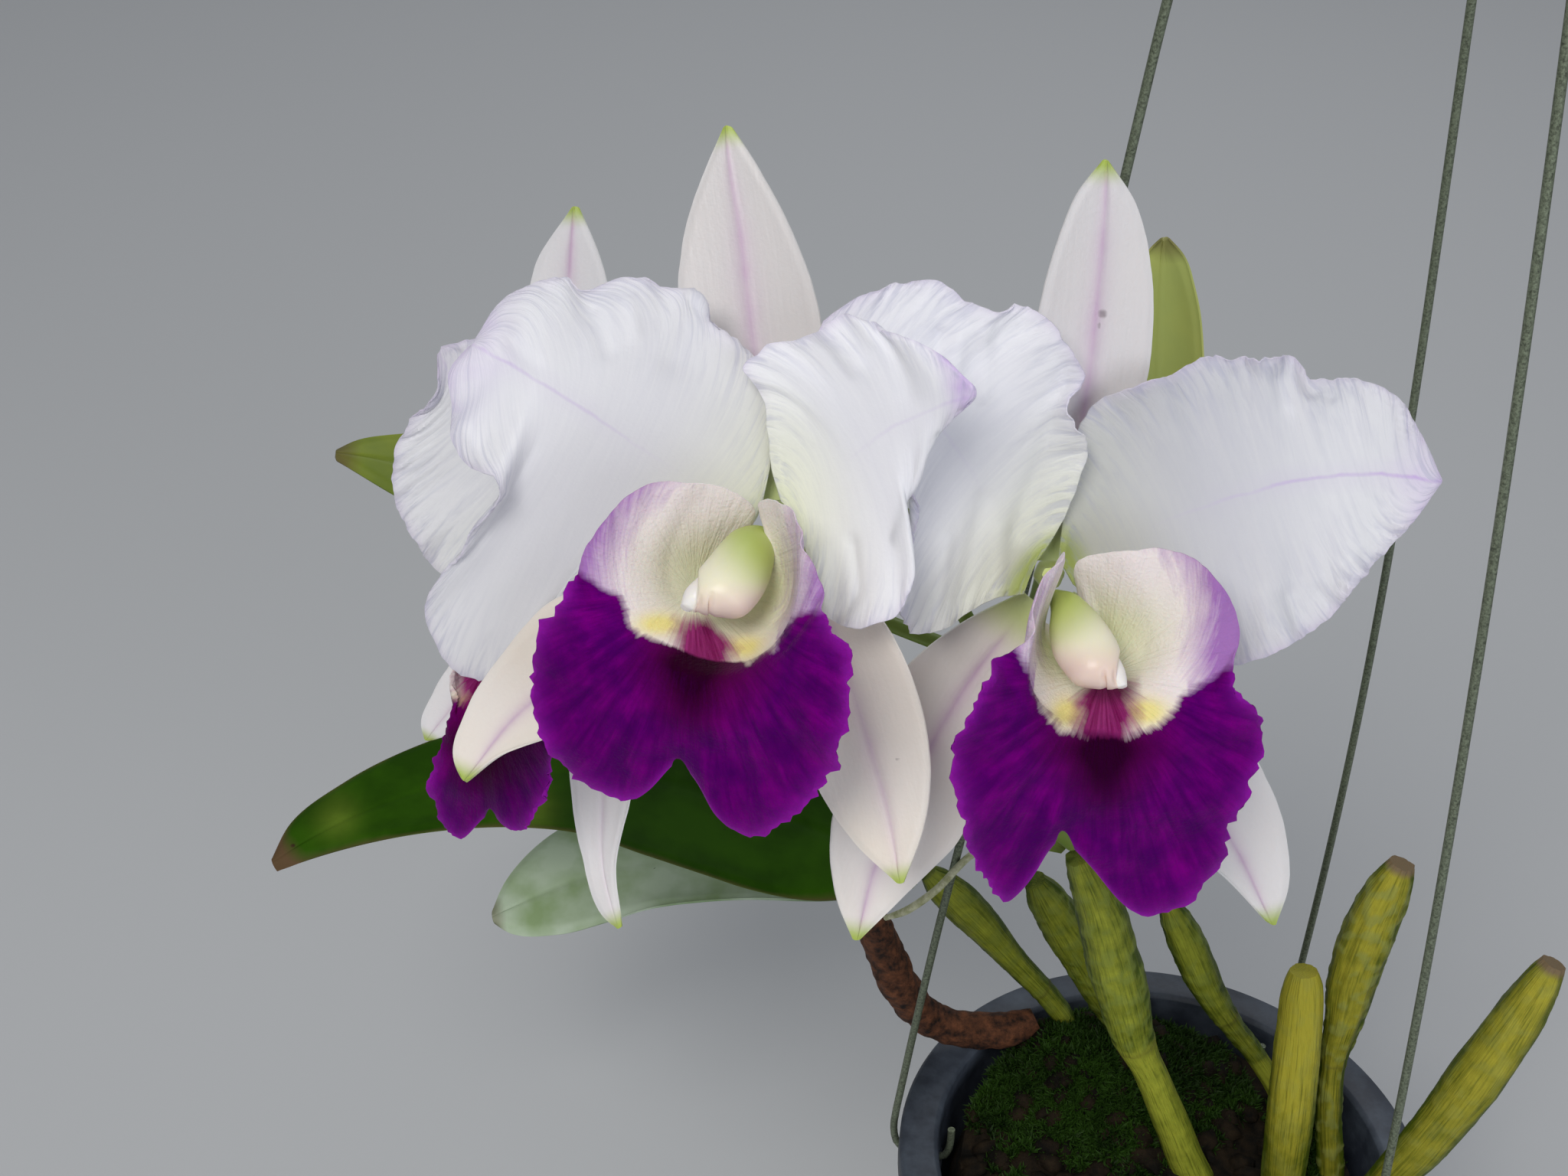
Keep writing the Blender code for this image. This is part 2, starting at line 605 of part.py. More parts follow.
# Tepals: left margin, midrib and right margin from foot to tip
SEPALS = {
    "a_dorsal": (
        [(-3, 2.6, 0), (-9, 14, 0), (-15, 28, 0), (-17.3, 42, -0.5), (-15.5, 54, -1),
         (-12.3, 63, -1), (-9.2, 70.2, -1)],
        [(0, 2.6, -1), (-1.5, 16, -1.6), (-3.5, 32, -2.2), (-5.6, 50, -2), (-7.8, 64, -1.4),
         (-8.4, 70.8, -1)],
        [(3, 2.6, 0), (7.2, 14, 0), (9.3, 28, 0), (7.6, 40, -0.5), (3.2, 52, -1), (-2.6, 63, -1),
         (-7.4, 70.4, -1)],
    ),
    "a_left": (
        [(-3.4, -3.0, 0), (-14, -8.4, 2), (-26, -12.8, 4), (-39.3, -15.1, 8), (-49.2, -25.2, 11),
         (-55.9, -35.5, 13), (-58.2, -44.9, 14), (-56.9, -47.9, 14)],
        [(-4.2, -4.2, -1), (-18, -16, 1), (-34, -27, 6), (-47, -37, 10), (-56.2, -48.6, 13)],
        [(-4.4, -6.2, 0), (-14, -24, 2), (-30, -36.5, 7), (-41, -40.6, 11), (-52, -45.1, 13),
         (-55.8, -48.2, 14)],
    ),
    "a_right": (
        [(1.2, -5.6, 0), (2.5, -20, 0), (4.2, -34, 1), (7.9, -49.4, 1), (15, -60, 0),
         (22.4, -67, 0)],
        [(3, -4.6, -1), (11, -22, -2), (17, -40, -1.5), (21.4, -56, -0.8), (23.1, -67.2, 0)],
        [(4.6, -3.2, 0), (14, -12, 0), (21.6, -22, 1), (26.6, -34, 1), (28.6, -46, 1),
         (27.4, -57, 0), (23.8, -67, 0)],
    ),
    "b_dorsal": (
        [(-3, 2.6, 0), (-3.6, 14, 2.6), (-4.4, 30, 5.8), (-2, 47, 10.6), (1.4, 60, 15),
         (5.6, 70, 18), (9.6, 75, 19.6)],
        [(0, 2.6, -1), (4, 18, 2.4), (7, 36, 6.4), (9, 55, 12.4), (10, 68, 17),
         (10.3, 75.5, 19.6)],
        [(3, 2.6, 0), (10.5, 14, 2.6), (16, 28, 5.6), (18.8, 42, 9.6), (18.6, 56, 14.2),
         (15.6, 68, 17.8), (11, 75.1, 19.6)],
    ),
    "b_left": (
        [(-4.6, -3.2, 0), (-16, -9, 0), (-27, -18, 0), (-35, -32, 1), (-39.6, -46, 1),
         (-38.4, -60, 0), (-35.8, -66.4, 0)],
        [(-3, -4.6, -1), (-15, -20, -2), (-25, -38, -2), (-32, -54, -1), (-35, -66.6, 0)],
        [(-1.2, -5.6, 0), (-6, -22, 0), (-11.5, -38, 0), (-16.5, -48.6, 0), (-24.3, -56.6, 0),
         (-34.2, -66.3, 0)],
    ),
    "b_right": (
        [(1.2, -5.6, 0), (6, -22, 0), (14, -38, 0), (24, -49, 0), (31.2, -54.4, -1),
         (39.9, -63.4, -3)],
        [(3, -4.6, -1), (14, -20, -2), (25, -36, -2), (34, -50, -2), (40.6, -63.8, -3)],
        [(4.6, -3.2, 0), (18, -12, 0), (30, -23, 0), (38, -34, 0), (43.3, -48, -1),
         (43.6, -57, -2), (41.3, -63.8, -3)],
    ),
    "c_dorsal": (
        [(-3, 2.6, 0), (-6, 16, 0), (-8, 30, 0), (-7, 44, 0), (-4.6, 55, -1), (1.6, 64.6, -1)],
        [(0, 2.6, -1), (0.4, 20, -2), (0.8, 40, -2), (1.6, 54, -2), (2.3, 64.9, -1)],
        [(3, 2.6, 0), (7, 16, 0), (9.6, 30, 0), (9.2, 44, 0), (7, 55, -1), (3, 64.6, -1)],
    ),
    "c_left": (
        [(-4.2, -2.8, 0), (-12, -8, 2), (-19, -16.5, 4), (-23.8, -24, 6), (-25.8, -29.6, 7),
         (-25.2, -32, 7)],
        [(-4.2, -4.4, -1), (-10, -13, 1), (-16, -21, 3), (-21, -27.5, 5), (-24.8, -32.4, 7)],
        [(-3.6, -6.2, 0), (-8, -18, 2), (-13, -26.5, 4), (-19, -30.8, 6), (-24.2, -32.3, 7)],
    ),
    "c_right": (
        [(1.2, -5.6, 0), (0, -20, 0), (1, -36, -2), (3.2, -52, -4), (8.4, -65.4, -6),
         (9.8, -66.4, -6)],
        [(3, -4.8, -1), (6, -22, -2), (7.4, -42, -4), (7.6, -56, -5), (10.2, -66.6, -6)],
        [(4.6, -3.4, 0), (11.5, -14, 0), (13.6, -28, 0), (12.4, -42, -2), (9.6, -56, -4),
         (10.8, -66.2, -6)],
    ),
}

PETALS = {
    "a_left": (
        [(-2.0, 2.9, 0), (-0.7, 9, -1), (-0.5, 15.6, -1.6), (-0.9, 24.9, -2.4), (-4.4, 29.8, -2.2),
         (-11.4, 35.3, -1), (-16.6, 40.6, -1), (-21.3, 41.7, 1), (-27.8, 43.2, -1),
         (-34.8, 40.9, 1.5), (-39, 42.7, 0), (-43.8, 42.1, -1.5), (-49.7, 38.8, -2),
         (-54.2, 32.2, -2)],
        [(-2.8, 0.2, -1), (-14, 6, -2), (-28, 15, -3), (-42, 24, -3), (-54.6, 31.2, -2)],
        [(-4, -1.8, 0), (-14, -2.8, -1), (-26, -6, -4), (-36, -11.5, -9.6), (-43, -19, -15.6),
         (-48.5, -26.4, -20), (-54, -30.2, -22), (-59.3, -27.4, -21.4), (-63.5, -18.4, -18),
         (-61.6, -12, -14.4), (-56.8, -6.7, -9), (-51.6, 0, -3), (-50.4, 6, 1), (-56.4, 9.5, -4),
         (-58.4, 13, -4), (-58.6, 20, 0), (-59.2, 25.8, 0), (-55.6, 30.6, -2)],
    ),
    "a_right": (
        [(1.4, 2.4, 0.2), (-0.2, 8, 0.4), (-1.0, 14, 0.8), (-2.2, 22, 2.4), (-5.9, 27.2, 3.5),
         (-1.4, 30.4, 2), (4.6, 31.9, 0), (8.8, 33.8, 0), (14.3, 36.4, 1), (18, 35.2, -1),
         (23.6, 32.4, 1), (29.1, 30.1, 0), (36, 24, 0)],
        [(3.2, 0.4, -1), (10, 6.5, -3), (19, 14, -3), (28.5, 19.2, -2), (36.8, 22, 0)],
        [(4.2, -1.6, 0), (7, -10, 0), (9.2, -18, 0), (15.7, -21, 0), (20.8, -18.9, -1),
         (25.2, -13.4, -3), (21.7, -5, -5), (23.1, 1, -7), (25, 6.1, -8), (26.4, 11.2, -8),
         (28.2, 15.3, -7), (31, 18.1, -5), (35.8, 21, -1)],
    ),
    "b_left": (
        [(-4.6, -1.4, 0), (-10, -1.6, 0), (-14.8, -5, 0), (-19, -10, 1), (-24, -10.6, 1),
         (-28, -7, 0), (-26.2, 0.3, 0), (-24.6, 9, -1), (-25.4, 17, -3), (-32, 27, -8),
         (-39, 36, -12), (-42.6, 43.2, -17)],
        [(-3.2, 0.4, -1), (-10, 12, -3), (-20, 27, -6), (-31, 38, -11), (-41.6, 45, -17)],
        [(-1.8, 2.8, 0), (0.6, 6.4, 0.5), (4.7, 14.6, 2), (6.8, 24, 3.5), (3.4, 31.3, 4),
         (6.1, 36, 5), (3.4, 42, 3), (-2.1, 47.8, -1), (-10, 47.7, -2), (-14.6, 49.8, -6),
         (-19.7, 53.1, -7), (-29.4, 52.4, -12), (-38.7, 48, -16), (-41.2, 46, -17)],
    ),
    "b_right": (
        [(1.8, 2.6, 0), (3.2, 14, -1.5), (7.1, 28.7, -2), (12, 32.8, -1), (18, 35.6, 1),
         (23.2, 36.5, -1), (29.1, 38.4, 1), (33.8, 39.6, -1), (39.7, 39.9, 1), (45.6, 38.6, -1),
         (48.1, 35.8, 1), (54.5, 36.3, -1), (62, 33.5, 1), (68, 25.2, 0), (71.4, 17.8, 0)],
        [(3.2, 0.4, -1), (21.3, 9.7, -3), (39.7, 15.9, -3), (56.9, 18.3, -2), (71.6, 17, 0)],
        [(4.4, -1.8, 0), (14, -9, 0), (24, -15, 0), (34.7, -16.6, 0), (41.1, -14.3, 1),
         (49.9, -9, -1), (56.9, -1.1, 1), (61.5, 4.4, -1), (65.7, 8.6, 1), (71.2, 16.2, 0)],
    ),
    "c_left": (
        [(-1.8, 2.8, 0), (-2, 15, 0), (-3, 28, 0), (-9, 37, 1), (-16, 40.6, -1), (-22.2, 39.4, 0)],
        [(-3, 0.4, -1), (-10, 12, -4), (-17.5, 26, -4), (-22.4, 38.6, 0)],
        [(-3.8, -1.8, 0), (-13, -3.4, 1), (-22.9, -1.6, -1), (-27.8, 5.3, 1), (-30.6, 12, -1),
         (-30.7, 19.5, 1), (-26.9, 26.9, -1), (-23, 30.6, 1), (-22.9, 38, 0)],
    ),
    "c_right": (
        [(1.4, 2.6, 0), (1.4, 14, 0), (4, 26, 1), (11, 33, -1), (19, 34, 1), (26, 29, 0),
         (31.2, 21.6, 0)],
        [(2.8, 0.4, -1), (11, 7, -3), (21, 14, -3), (31.4, 20.6, 0)],
        [(3.8, -1.6, 0), (10, -10, 1), (18, -13.4, -1), (25, -8, 1), (28, 2, -1), (29, 12, 1),
         (31, 19.6, 0)],
    ),
}

# Lips: stations from the foot to the notch of the front lobe, each with its left margin,
# middle and right margin, and how far the tube swells between them
LIPS = {
    "a": [
        ((-4.2, -3.4, 0), (-1.4, -9.4, -2), (2.2, -4.0, 0), 1.6),
        ((-3.6, 1.4, 6), (-4.6, -14.6, 3), (-1.4, 2.0, 7), 5.8),
        ((-12.3, 5.8, 14), (-9.4, -20.8, 10), (1.6, 2.4, 14), 7.7),
        ((-23.4, 5.0, 21), (-13.4, -26, 17), (4.8, -3.4, 20), 5.4),
        ((-32.6, -3.2, 24), (-15.2, -29.4, 21), (7.8, -10.8, 24), 1.9),
        ((-36.8, -12.8, 25), (-16, -32.4, 22), (9.4, -18.0, 25), 0.0),
        ((-43.4, -24, 25), (-16.4, -35.4, 22.4), (13, -25, 26), 0.0),
        ((-43, -38, 22), (-16.7, -38.4, 22), (13.4, -40, 23), 0.0),
        ((-36.5, -47.4, 18), (-16.9, -41, 21), (7, -52, 18), 0.0),
        ((-26, -52, 16), (-17, -43.2, 19.6), (-5.4, -58.6, 15), 0.0),
        ((-18.6, -46, 17.6), (-17, -44.4, 18.8), (-15.2, -47.4, 17.6), 0.0),
    ],
    "b": [
        ((-1.6, -4.4, 0), (2, -9.4, -2), (5.2, -3.6, 0), 1.6),
        ((2.6, 1.6, 7), (4.4, -14.6, 3), (5.2, 2.2, 6), 5.8),
        ((2.6, 4.2, 13), (7.6, -20.4, 10), (13.6, 4.4, 13), 7.7),
        ((-1.6, -3.6, 20), (9.6, -25.2, 17), (26.4, 2.8, 19), 5.4),
        ((-4.9, -12.4, 24), (10.6, -29, 21), (34.2, -8, 22), 1.9),
        ((-9.6, -16.6, 25), (10.6, -32.6, 22), (33.8, -18, 24), 0.0),
        ((-16.6, -28.5, 25), (9.6, -36.2, 22.4), (39.6, -28.6, 24), 0.0),
        ((-16.4, -42, 22), (7.8, -39.6, 22), (34.6, -42, 22), 0.0),
        ((-13, -54, 18), (5.6, -42.6, 21), (30.6, -54.4, 18), 0.0),
        ((-7.6, -59.4, 15), (3.6, -45.2, 19.6), (19, -62, 15), 0.0),
        ((1.2, -49, 17.6), (2.4, -46.4, 18.8), (4.6, -50, 17.6), 0.0),
    ],
    "c": [
        ((-5.6, -5.6, 0), (-2, -9.4, -2), (1.6, -6.4, 0), 1.0),
        ((-10, -3, 3), (-5.4, -14.4, 2), (0.6, -5, 6), 3.2),
        ((-15, -3, 7), (-9.4, -21, 5), (-1.6, -6, 12), 4.2),
        ((-19, -10, 10), (-12.4, -26.5, 9), (-1.2, -12, 17), 2.6),
        ((-19.6, -19, 11), (-13.6, -30.6, 12), (-1.4, -19, 20), 1.0),
        ((-20, -26, 11), (-14, -34, 13), (-1.2, -26, 21), 0.0),
        ((-22.4, -34, 10), (-14, -37.4, 13.4), (-1, -33, 21), 0.0),
        ((-23.8, -43.6, 8), (-13.8, -40.6, 13), (-3.6, -42.6, 19), 0.0),
        ((-19, -50, 6), (-13.6, -43, 12.4), (-8.4, -49, 15), 0.0),
        ((-14.6, -46.6, 10), (-13.4, -44.8, 11.8), (-12, -46.4, 12), 0.0),
    ],
}

# Columns: upper and lower edge, then how far forward, from the foot to the anther
COLUMNS = {
    "a": [((-2.3, -2.9), (0.2, -4.9), 1.4), ((-5.0, -2.7), (0.0, -7.1), 5.5),
          ((-7.8, -3.7), (-0.2, -9.9), 9.5), ((-10.0, -5.9), (-1.0, -12.8), 13.5),
          ((-12.2, -8.6), (-2.8, -15.8), 17.0), ((-14.6, -11.6), (-5.4, -18.1), 20.0),
          ((-16.2, -14.2), (-9.6, -18.2), 22.0), ((-16.9, -16.8), (-14.0, -17.6), 23.4)],
    "b": [((1.9, -2.9), (0.2, -5.0), 1.4), ((5.3, -4.1), (0.4, -7.2), 5.5),
          ((7.9, -6.4), (0.1, -10.9), 9.5), ((10.6, -9.6), (0.8, -14.6), 13.5),
          ((12.4, -12.5), (2.7, -17.5), 17.0), ((13.5, -15.2), (4.9, -19.8), 20.0),
          ((14.2, -18.0), (8.4, -20.6), 22.0), ((14.3, -20.4), (12.0, -20.8), 23.4)],
    "c": [((-2.6, -2.6), (0.4, -4.6), 1.4), ((-6.5, -4.0), (-1.5, -8.8), 4.0),
          ((-11.4, -8.6), (-6.6, -13.6), 7.6), ((-16.4, -13.4), (-12.0, -18.0), 10.6),
          ((-18.0, -17.4), (-16.0, -19.4), 12.6)],
}
COLUMN_DEPTH = 0.8
COLUMN_RINGS = 9
COLUMN_SIDES = 10

PETAL_FRONT = -2.5
PETAL_SWEEP = 0.22
SEPAL_BACK = -5.8
SEPAL_SWEEP = -0.08


def bloom_point(bloom, point, base, sweep):
    """A drawn point of a bloom in space: its plane is turned, and its tepals swept."""
    across, up, lift = point
    across_c, down_c, depth = bloom["centre"]
    towards = bloom["turn"] * across + bloom["nod"] * up + base + lift
    towards += sweep * math.hypot(across, up)
    return spot(across_c + DRAWN_UNIT * across, down_c - DRAWN_UNIT * up, depth - towards)


def tepal_grid(bloom, margins, base, sweep, rows, cols):
    curves = []
    for points in margins:
        placed = [bloom_point(bloom, p, base, sweep) for p in points]
        curves.append(spline(placed, rows))
    return loft(*curves, cols)


def build_sepals(key, bloom):
    for name, margins in SEPALS.items():
        if name[0] != key:
            continue
        grid = tepal_grid(bloom, margins, SEPAL_BACK, SEPAL_SWEEP, 12, 5)
        points, faces = sheet_body(grid, SEPAL_THICK)
        add_object(f"bloom_{key}_sepal_{name[2:]}", points, faces, "sepal_white")


def build_petals(key, bloom):
    for name, margins in PETALS.items():
        if name[0] != key:
            continue
        grid = tepal_grid(bloom, margins, PETAL_FRONT, PETAL_SWEEP, 22, 7)
        grid = ruffled(grid, 0.9, 5.0, 0.6)
        points, faces = sheet_body(grid, PETAL_THICK)
        add_object(f"bloom_{key}_petal_{name[2:]}", points, faces, "petal_white")


def lip_grid(key, bloom, rows, cols):
    stations = LIPS[key]
    curves = []
    for side in range(3):
        placed = [bloom_point(bloom, station[side], 0.0, 0.0) for station in stations]
        curves.append(spline(placed, rows, even=False))
    places = np.linspace(0, len(stations) - 1, rows)
    belly = np.interp(places, range(len(stations)), [station[3] for station in stations])
    return loft(*curves, cols, belly)


def build_lip(key, bloom):
    grid = lip_grid(key, bloom, 23, 11)
    grid = ruffled(grid, 0.8, 6.0, 0.4, 4.0)
    points, faces = sheet_body(grid, LIP_THICK)
    add_object(f"bloom_{key}_lip", points, faces, "lip_purple")


def build_column(key, bloom):
    """A closed hood between its two drawn edges, nearly as deep as it is wide."""
    edges = []
    for side in range(2):
        placed = [bloom_point(bloom, (*s[side], s[2]), 0.0, 0.0) for s in COLUMNS[key]]
        edges.append(spline(placed, COLUMN_RINGS, even=False))
    path = (edges[0] + edges[1]) / 2
    half = (edges[1] - edges[0]) / 2
    front = np.cross(np.gradient(path, axis=0), half)
    front /= np.linalg.norm(front, axis=1)[:, None]
    front *= COLUMN_DEPTH * np.linalg.norm(half, axis=1)[:, None]
    rings = [oval(path[i], half[i], front[i], COLUMN_SIDES) for i in range(COLUMN_RINGS)]
    points, faces = closed_rings(rings, path[0], path[-1])
    add_object(f"bloom_{key}_column", points, faces, "column_cream")


# Stalks: the spike from the front pseudobulb, and one stalk with its ovary to each bloom

FORK = (-54.0, -4.0, 150.0)
STALK_ROUTES = {
    "a": [(-58.4, -1.0, 154.0), (-66.0, 4.0, 165.0), (-73.0, 4.0, 177.0), (-83.0, 1.0, 186.0)],
    "b": [(-51.0, -3.0, 155.0), (-48.0, -4.0, 164.0), (-47.0, -6.0, 174.0)],
    "c": [(-59.0, 2.0, 147.0), (-74.0, 12.0, 146.0), (-95.0, 22.0, 149.0), (-115.0, 28.0, 154.0)],
}


def build_stalks():
    apex = spot(1408, 1118, 474) + [-1.2, -0.2, 4.0]
    path = spline([apex, (-45.5, -17.0, 128.0), (-50.5, -9.0, 141.0), FORK], 9)
    radii = swell(9, [(0, 2.2), (0.15, 2.9), (0.8, 2.6), (1, 2.0)])
    add_tube("flower_spike", path, radii, 10, "flower_stalk")
    for key, bloom in BLOOMS.items():
        back = bloom_point(bloom, (0, 0, 0), -12.0, 0.0)
        neck = bloom_point(bloom, (0, 0, 0), -8.0, 0.0)
        front = bloom_point(bloom, (0, 0, 0), -0.6, 0.0)
        path = spline(STALK_ROUTES[key] + [back, neck, front], 18)
        radii = swell(18, [(0, 1.6), (0.5, 1.9), (0.7, 2.9), (0.82, 2.7), (0.88, 1.5), (1, 1.2)])
        add_tube(f"bloom_{key}_stalk", path, radii, 8, "flower_stalk")


def build():
    clear_scene()
    build_hanger()
    build_pot()
    stems = []
    for route, stations, _ in BULBS.values():
        path = spline(spots(route), BULB_RINGS)
        stems.append((path, swell(BULB_RINGS, stations)))
    build_medium(stems)
    build_bulbs()
    build_roots()
    build_leaves()
    for key, bloom in BLOOMS.items():
        build_sepals(key, bloom)
        build_petals(key, bloom)
        build_lip(key, bloom)
        build_column(key, bloom)
    build_stalks()


build()
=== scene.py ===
"""The looks of a potted cattleya orchid in bloom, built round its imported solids.

Points are in millimetres from the centre of the pot's rim, with +Z up, as in the part's
own source. add_piece turns them into metres from the hanger hook.
"""
import math

import bmesh
import bpy
import numpy as np
from mathutils import Matrix, Vector, noise


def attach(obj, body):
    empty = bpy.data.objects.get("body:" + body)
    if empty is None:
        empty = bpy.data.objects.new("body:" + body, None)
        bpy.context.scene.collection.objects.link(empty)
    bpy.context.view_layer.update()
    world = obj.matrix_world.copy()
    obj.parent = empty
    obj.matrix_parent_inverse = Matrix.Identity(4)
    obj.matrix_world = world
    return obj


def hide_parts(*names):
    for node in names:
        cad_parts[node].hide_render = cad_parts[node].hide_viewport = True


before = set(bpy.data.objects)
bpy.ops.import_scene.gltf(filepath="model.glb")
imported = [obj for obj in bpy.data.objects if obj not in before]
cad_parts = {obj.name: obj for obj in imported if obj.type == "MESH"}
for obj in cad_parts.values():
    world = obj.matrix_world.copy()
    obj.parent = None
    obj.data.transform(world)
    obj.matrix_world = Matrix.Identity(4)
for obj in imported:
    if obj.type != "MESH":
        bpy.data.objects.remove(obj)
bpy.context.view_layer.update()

# Hanger and pot
HOOK_RISE = 548.0
JOIN_HEIGHT = 500.0
WIRE_RADIUS = 0.9
WIRE_BOW = 1.63
WIRE_STEPS = 11
WIRE_ANGLES = {"left": 171.0, "back": 53.3, "right": -58.2}
# Slight bends of each wire as it was shaped by hand: a bow sideways, an S sideways,
# and a bow inward in its lower part
WIRE_BENDS = {"left": (0.0, 0.0, 5.0), "back": (1.8, -2.3, 0.0), "right": (-2.0, 0.0, 0.0)}
INWARD_TOP = 300.0
RIM_RADIUS = 63.0
RIM_INNER = 53.6
POT_HEIGHT = 108.0
POT_BASE = 41.0
POT_WALL = 1.8
HANGER_HOLE_DROP = 14.0

# Sheets of the plant, thinner at their margins
PETAL_THICK = 0.8
SEPAL_THICK = 1.0
LIP_THICK = 0.7
LEAF_THICK = 1.6

# The forms are drawn as a person in front of the plant sees them, on a sheet whose unit
# is DRAWN_UNIT of a millimetre at the blooms, and pushed back to their own depth.
EYE = np.array([-97.4, -369.0, 430.2])
LOOK_DOWN = math.radians(35.92)
HEAD_TILT = math.radians(2.87)
SHEET_DEPTH = 3000.0
SHEET_SIZE = (2048.0, 1536.0)
DRAWN_UNIT = 7.17
SENSOR_WIDTH = 36.0


def view_axes():
    """Right, up and forward of the person who draws."""
    forward = np.array([0.0, math.cos(LOOK_DOWN), -math.sin(LOOK_DOWN)])
    level = np.array([1.0, 0.0, 0.0])
    upward = np.array([0.0, math.sin(LOOK_DOWN), math.cos(LOOK_DOWN)])
    right = math.cos(HEAD_TILT) * level + math.sin(HEAD_TILT) * upward
    up = -math.sin(HEAD_TILT) * level + math.cos(HEAD_TILT) * upward
    return right, up, forward


RIGHT, UP, FORWARD = view_axes()


def spot(across, down, depth):
    """The point at a place on the drawing sheet, at a depth in front of the eye."""
    x = (across - SHEET_SIZE[0] / 2) / SHEET_DEPTH
    y = (SHEET_SIZE[1] / 2 - down) / SHEET_DEPTH
    return EYE + depth * (FORWARD + x * RIGHT + y * UP)


def spots(points):
    return [spot(*point) for point in points]


def sheet_place(points):
    """Where points in space fall on the drawing sheet."""
    away = points - EYE
    depth = away @ FORWARD
    across = SHEET_SIZE[0] / 2 + SHEET_DEPTH * (away @ RIGHT) / depth
    down = SHEET_SIZE[1] / 2 - SHEET_DEPTH * (away @ UP) / depth
    return across, down


def spline(points, count, even=True):
    """A smooth curve through the points, read at equal lengths or at equal steps."""
    pts = np.array(points, float)
    steps = np.linalg.norm(np.diff(pts, axis=0), axis=1) + 1e-6
    slopes = np.diff(pts, axis=0) / steps[:, None]
    tangents = np.empty_like(pts)
    tangents[0] = slopes[0]
    tangents[-1] = slopes[-1]
    for i in range(1, len(pts) - 1):
        total = steps[i - 1] + steps[i]
        tangents[i] = (slopes[i - 1] * steps[i] + slopes[i] * steps[i - 1]) / total
    fine = []
    for i, step in enumerate(steps):
        for t in np.linspace(0.0, 1.0, 16, endpoint=False):
            h1 = 2 * t**3 - 3 * t**2 + 1
            h2 = t**3 - 2 * t**2 + t
            h3 = 3 * t**2 - 2 * t**3
            h4 = t**3 - t**2
            point = h1 * pts[i] + h2 * step * tangents[i] + h3 * pts[i + 1]
            fine.append(point + h4 * step * tangents[i + 1])
    fine.append(pts[-1])
    fine = np.array(fine)
    along = np.arange(len(fine), dtype=float)
    if even:
        lengths = np.linalg.norm(np.diff(fine, axis=0), axis=1)
        along = np.concatenate([[0.0], np.cumsum(lengths)])
    places = np.linspace(0.0, along[-1], count)
    return np.stack([np.interp(places, along, fine[:, k]) for k in range(pts.shape[1])], axis=1)


def drift(points, size, seed):
    """Slow unevenness at each point, from -1 to 1, in lumps about size mm across."""
    shift = Vector((17.3 * seed, 5.1 * seed, 9.7 * seed))
    values = [noise.noise(Vector(p) / size + shift) for p in points.reshape(-1, 3)]
    return np.array(values).reshape(points.shape[:-1])


def smooth_step(values, low, high):
    t = np.clip((values - low) / (high - low), 0.0, 1.0)
    return t * t * (3.0 - 2.0 * t)


def add_piece(name, points, faces, finish, stands_for=None, fields=None, flat_angle=60.0):
    """A finished piece from points in mm. Fields are values at its points for its finish."""
    metres = (np.asarray(points, float) - [0.0, 0.0, HOOK_RISE]) / 1000.0
    mesh = bpy.data.meshes.new(name)
    mesh.from_pydata(metres.tolist(), [], [tuple(face) for face in faces])
    for field, values in (fields or {}).items():
        layer = mesh.attributes.new(field, "FLOAT", "POINT")
        layer.data.foreach_set("value", np.asarray(values, np.float32).ravel())
    return add_mesh(name, mesh, finish, stands_for, flat_angle)


def add_mesh(name, mesh, finish, stands_for=None, flat_angle=60.0):
    """A finished piece from a mesh in metres."""
    mesh.materials.clear()
    mesh.materials.append(finish)
    mesh.shade_smooth()
    mesh.set_sharp_from_angle(angle=math.radians(flat_angle))
    made = bpy.data.objects.new(name, mesh)
    bpy.context.scene.collection.objects.link(made)
    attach(made, "root")
    if stands_for:
        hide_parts(stands_for)
    return made


# Sheets: petals, sepals, lips and leaves


def sheet_normals(grid, passes=3):
    along = np.gradient(grid, axis=0)
    across = np.gradient(grid, axis=1)
    normal = np.cross(along, across)
    normal /= np.linalg.norm(normal, axis=2)[..., None] + 1e-9
    for end, third in ((0, 2), (-1, -3)):
        normal[end] = normal[third].mean(axis=0)
    for _ in range(passes):
        padded = np.pad(normal, ((1, 1), (1, 1), (0, 0)), mode="edge")
        normal = 2 * normal + padded[2:, 1:-1] + padded[:-2, 1:-1]
        normal = normal + padded[1:-1, 2:] + padded[1:-1, :-2]
        normal /= np.linalg.norm(normal, axis=2)[..., None]
    return normal


def sheet_body(grid, thick):
    """Points and faces of a grid's sheet made thick. Thick is one value or one a point."""
    rows, cols = grid.shape[:2]
    offset = sheet_normals(grid) * (np.ones((rows, cols)) * thick / 2)[..., None]
    points = np.concatenate([(grid + offset).reshape(-1, 3), (grid - offset).reshape(-1, 3)])
    half = rows * cols
    start = (np.arange(rows - 1)[:, None] * cols + np.arange(cols - 1)[None, :]).ravel()
    front = np.stack([start, start + cols, start + cols + 1, start + 1], axis=1)
    back = front[:, ::-1] + half
    edge = list(range(cols))
    edge += [i * cols + cols - 1 for i in range(1, rows)]
    edge += [(rows - 1) * cols + j for j in range(cols - 2, -1, -1)]
    edge += [i * cols for i in range(rows - 2, 0, -1)]
    edge = np.array(edge)
    after = np.roll(edge, -1)
    rim = np.stack([edge, after, after + half, edge + half], axis=1)
    return points, np.concatenate([front, back, rim])


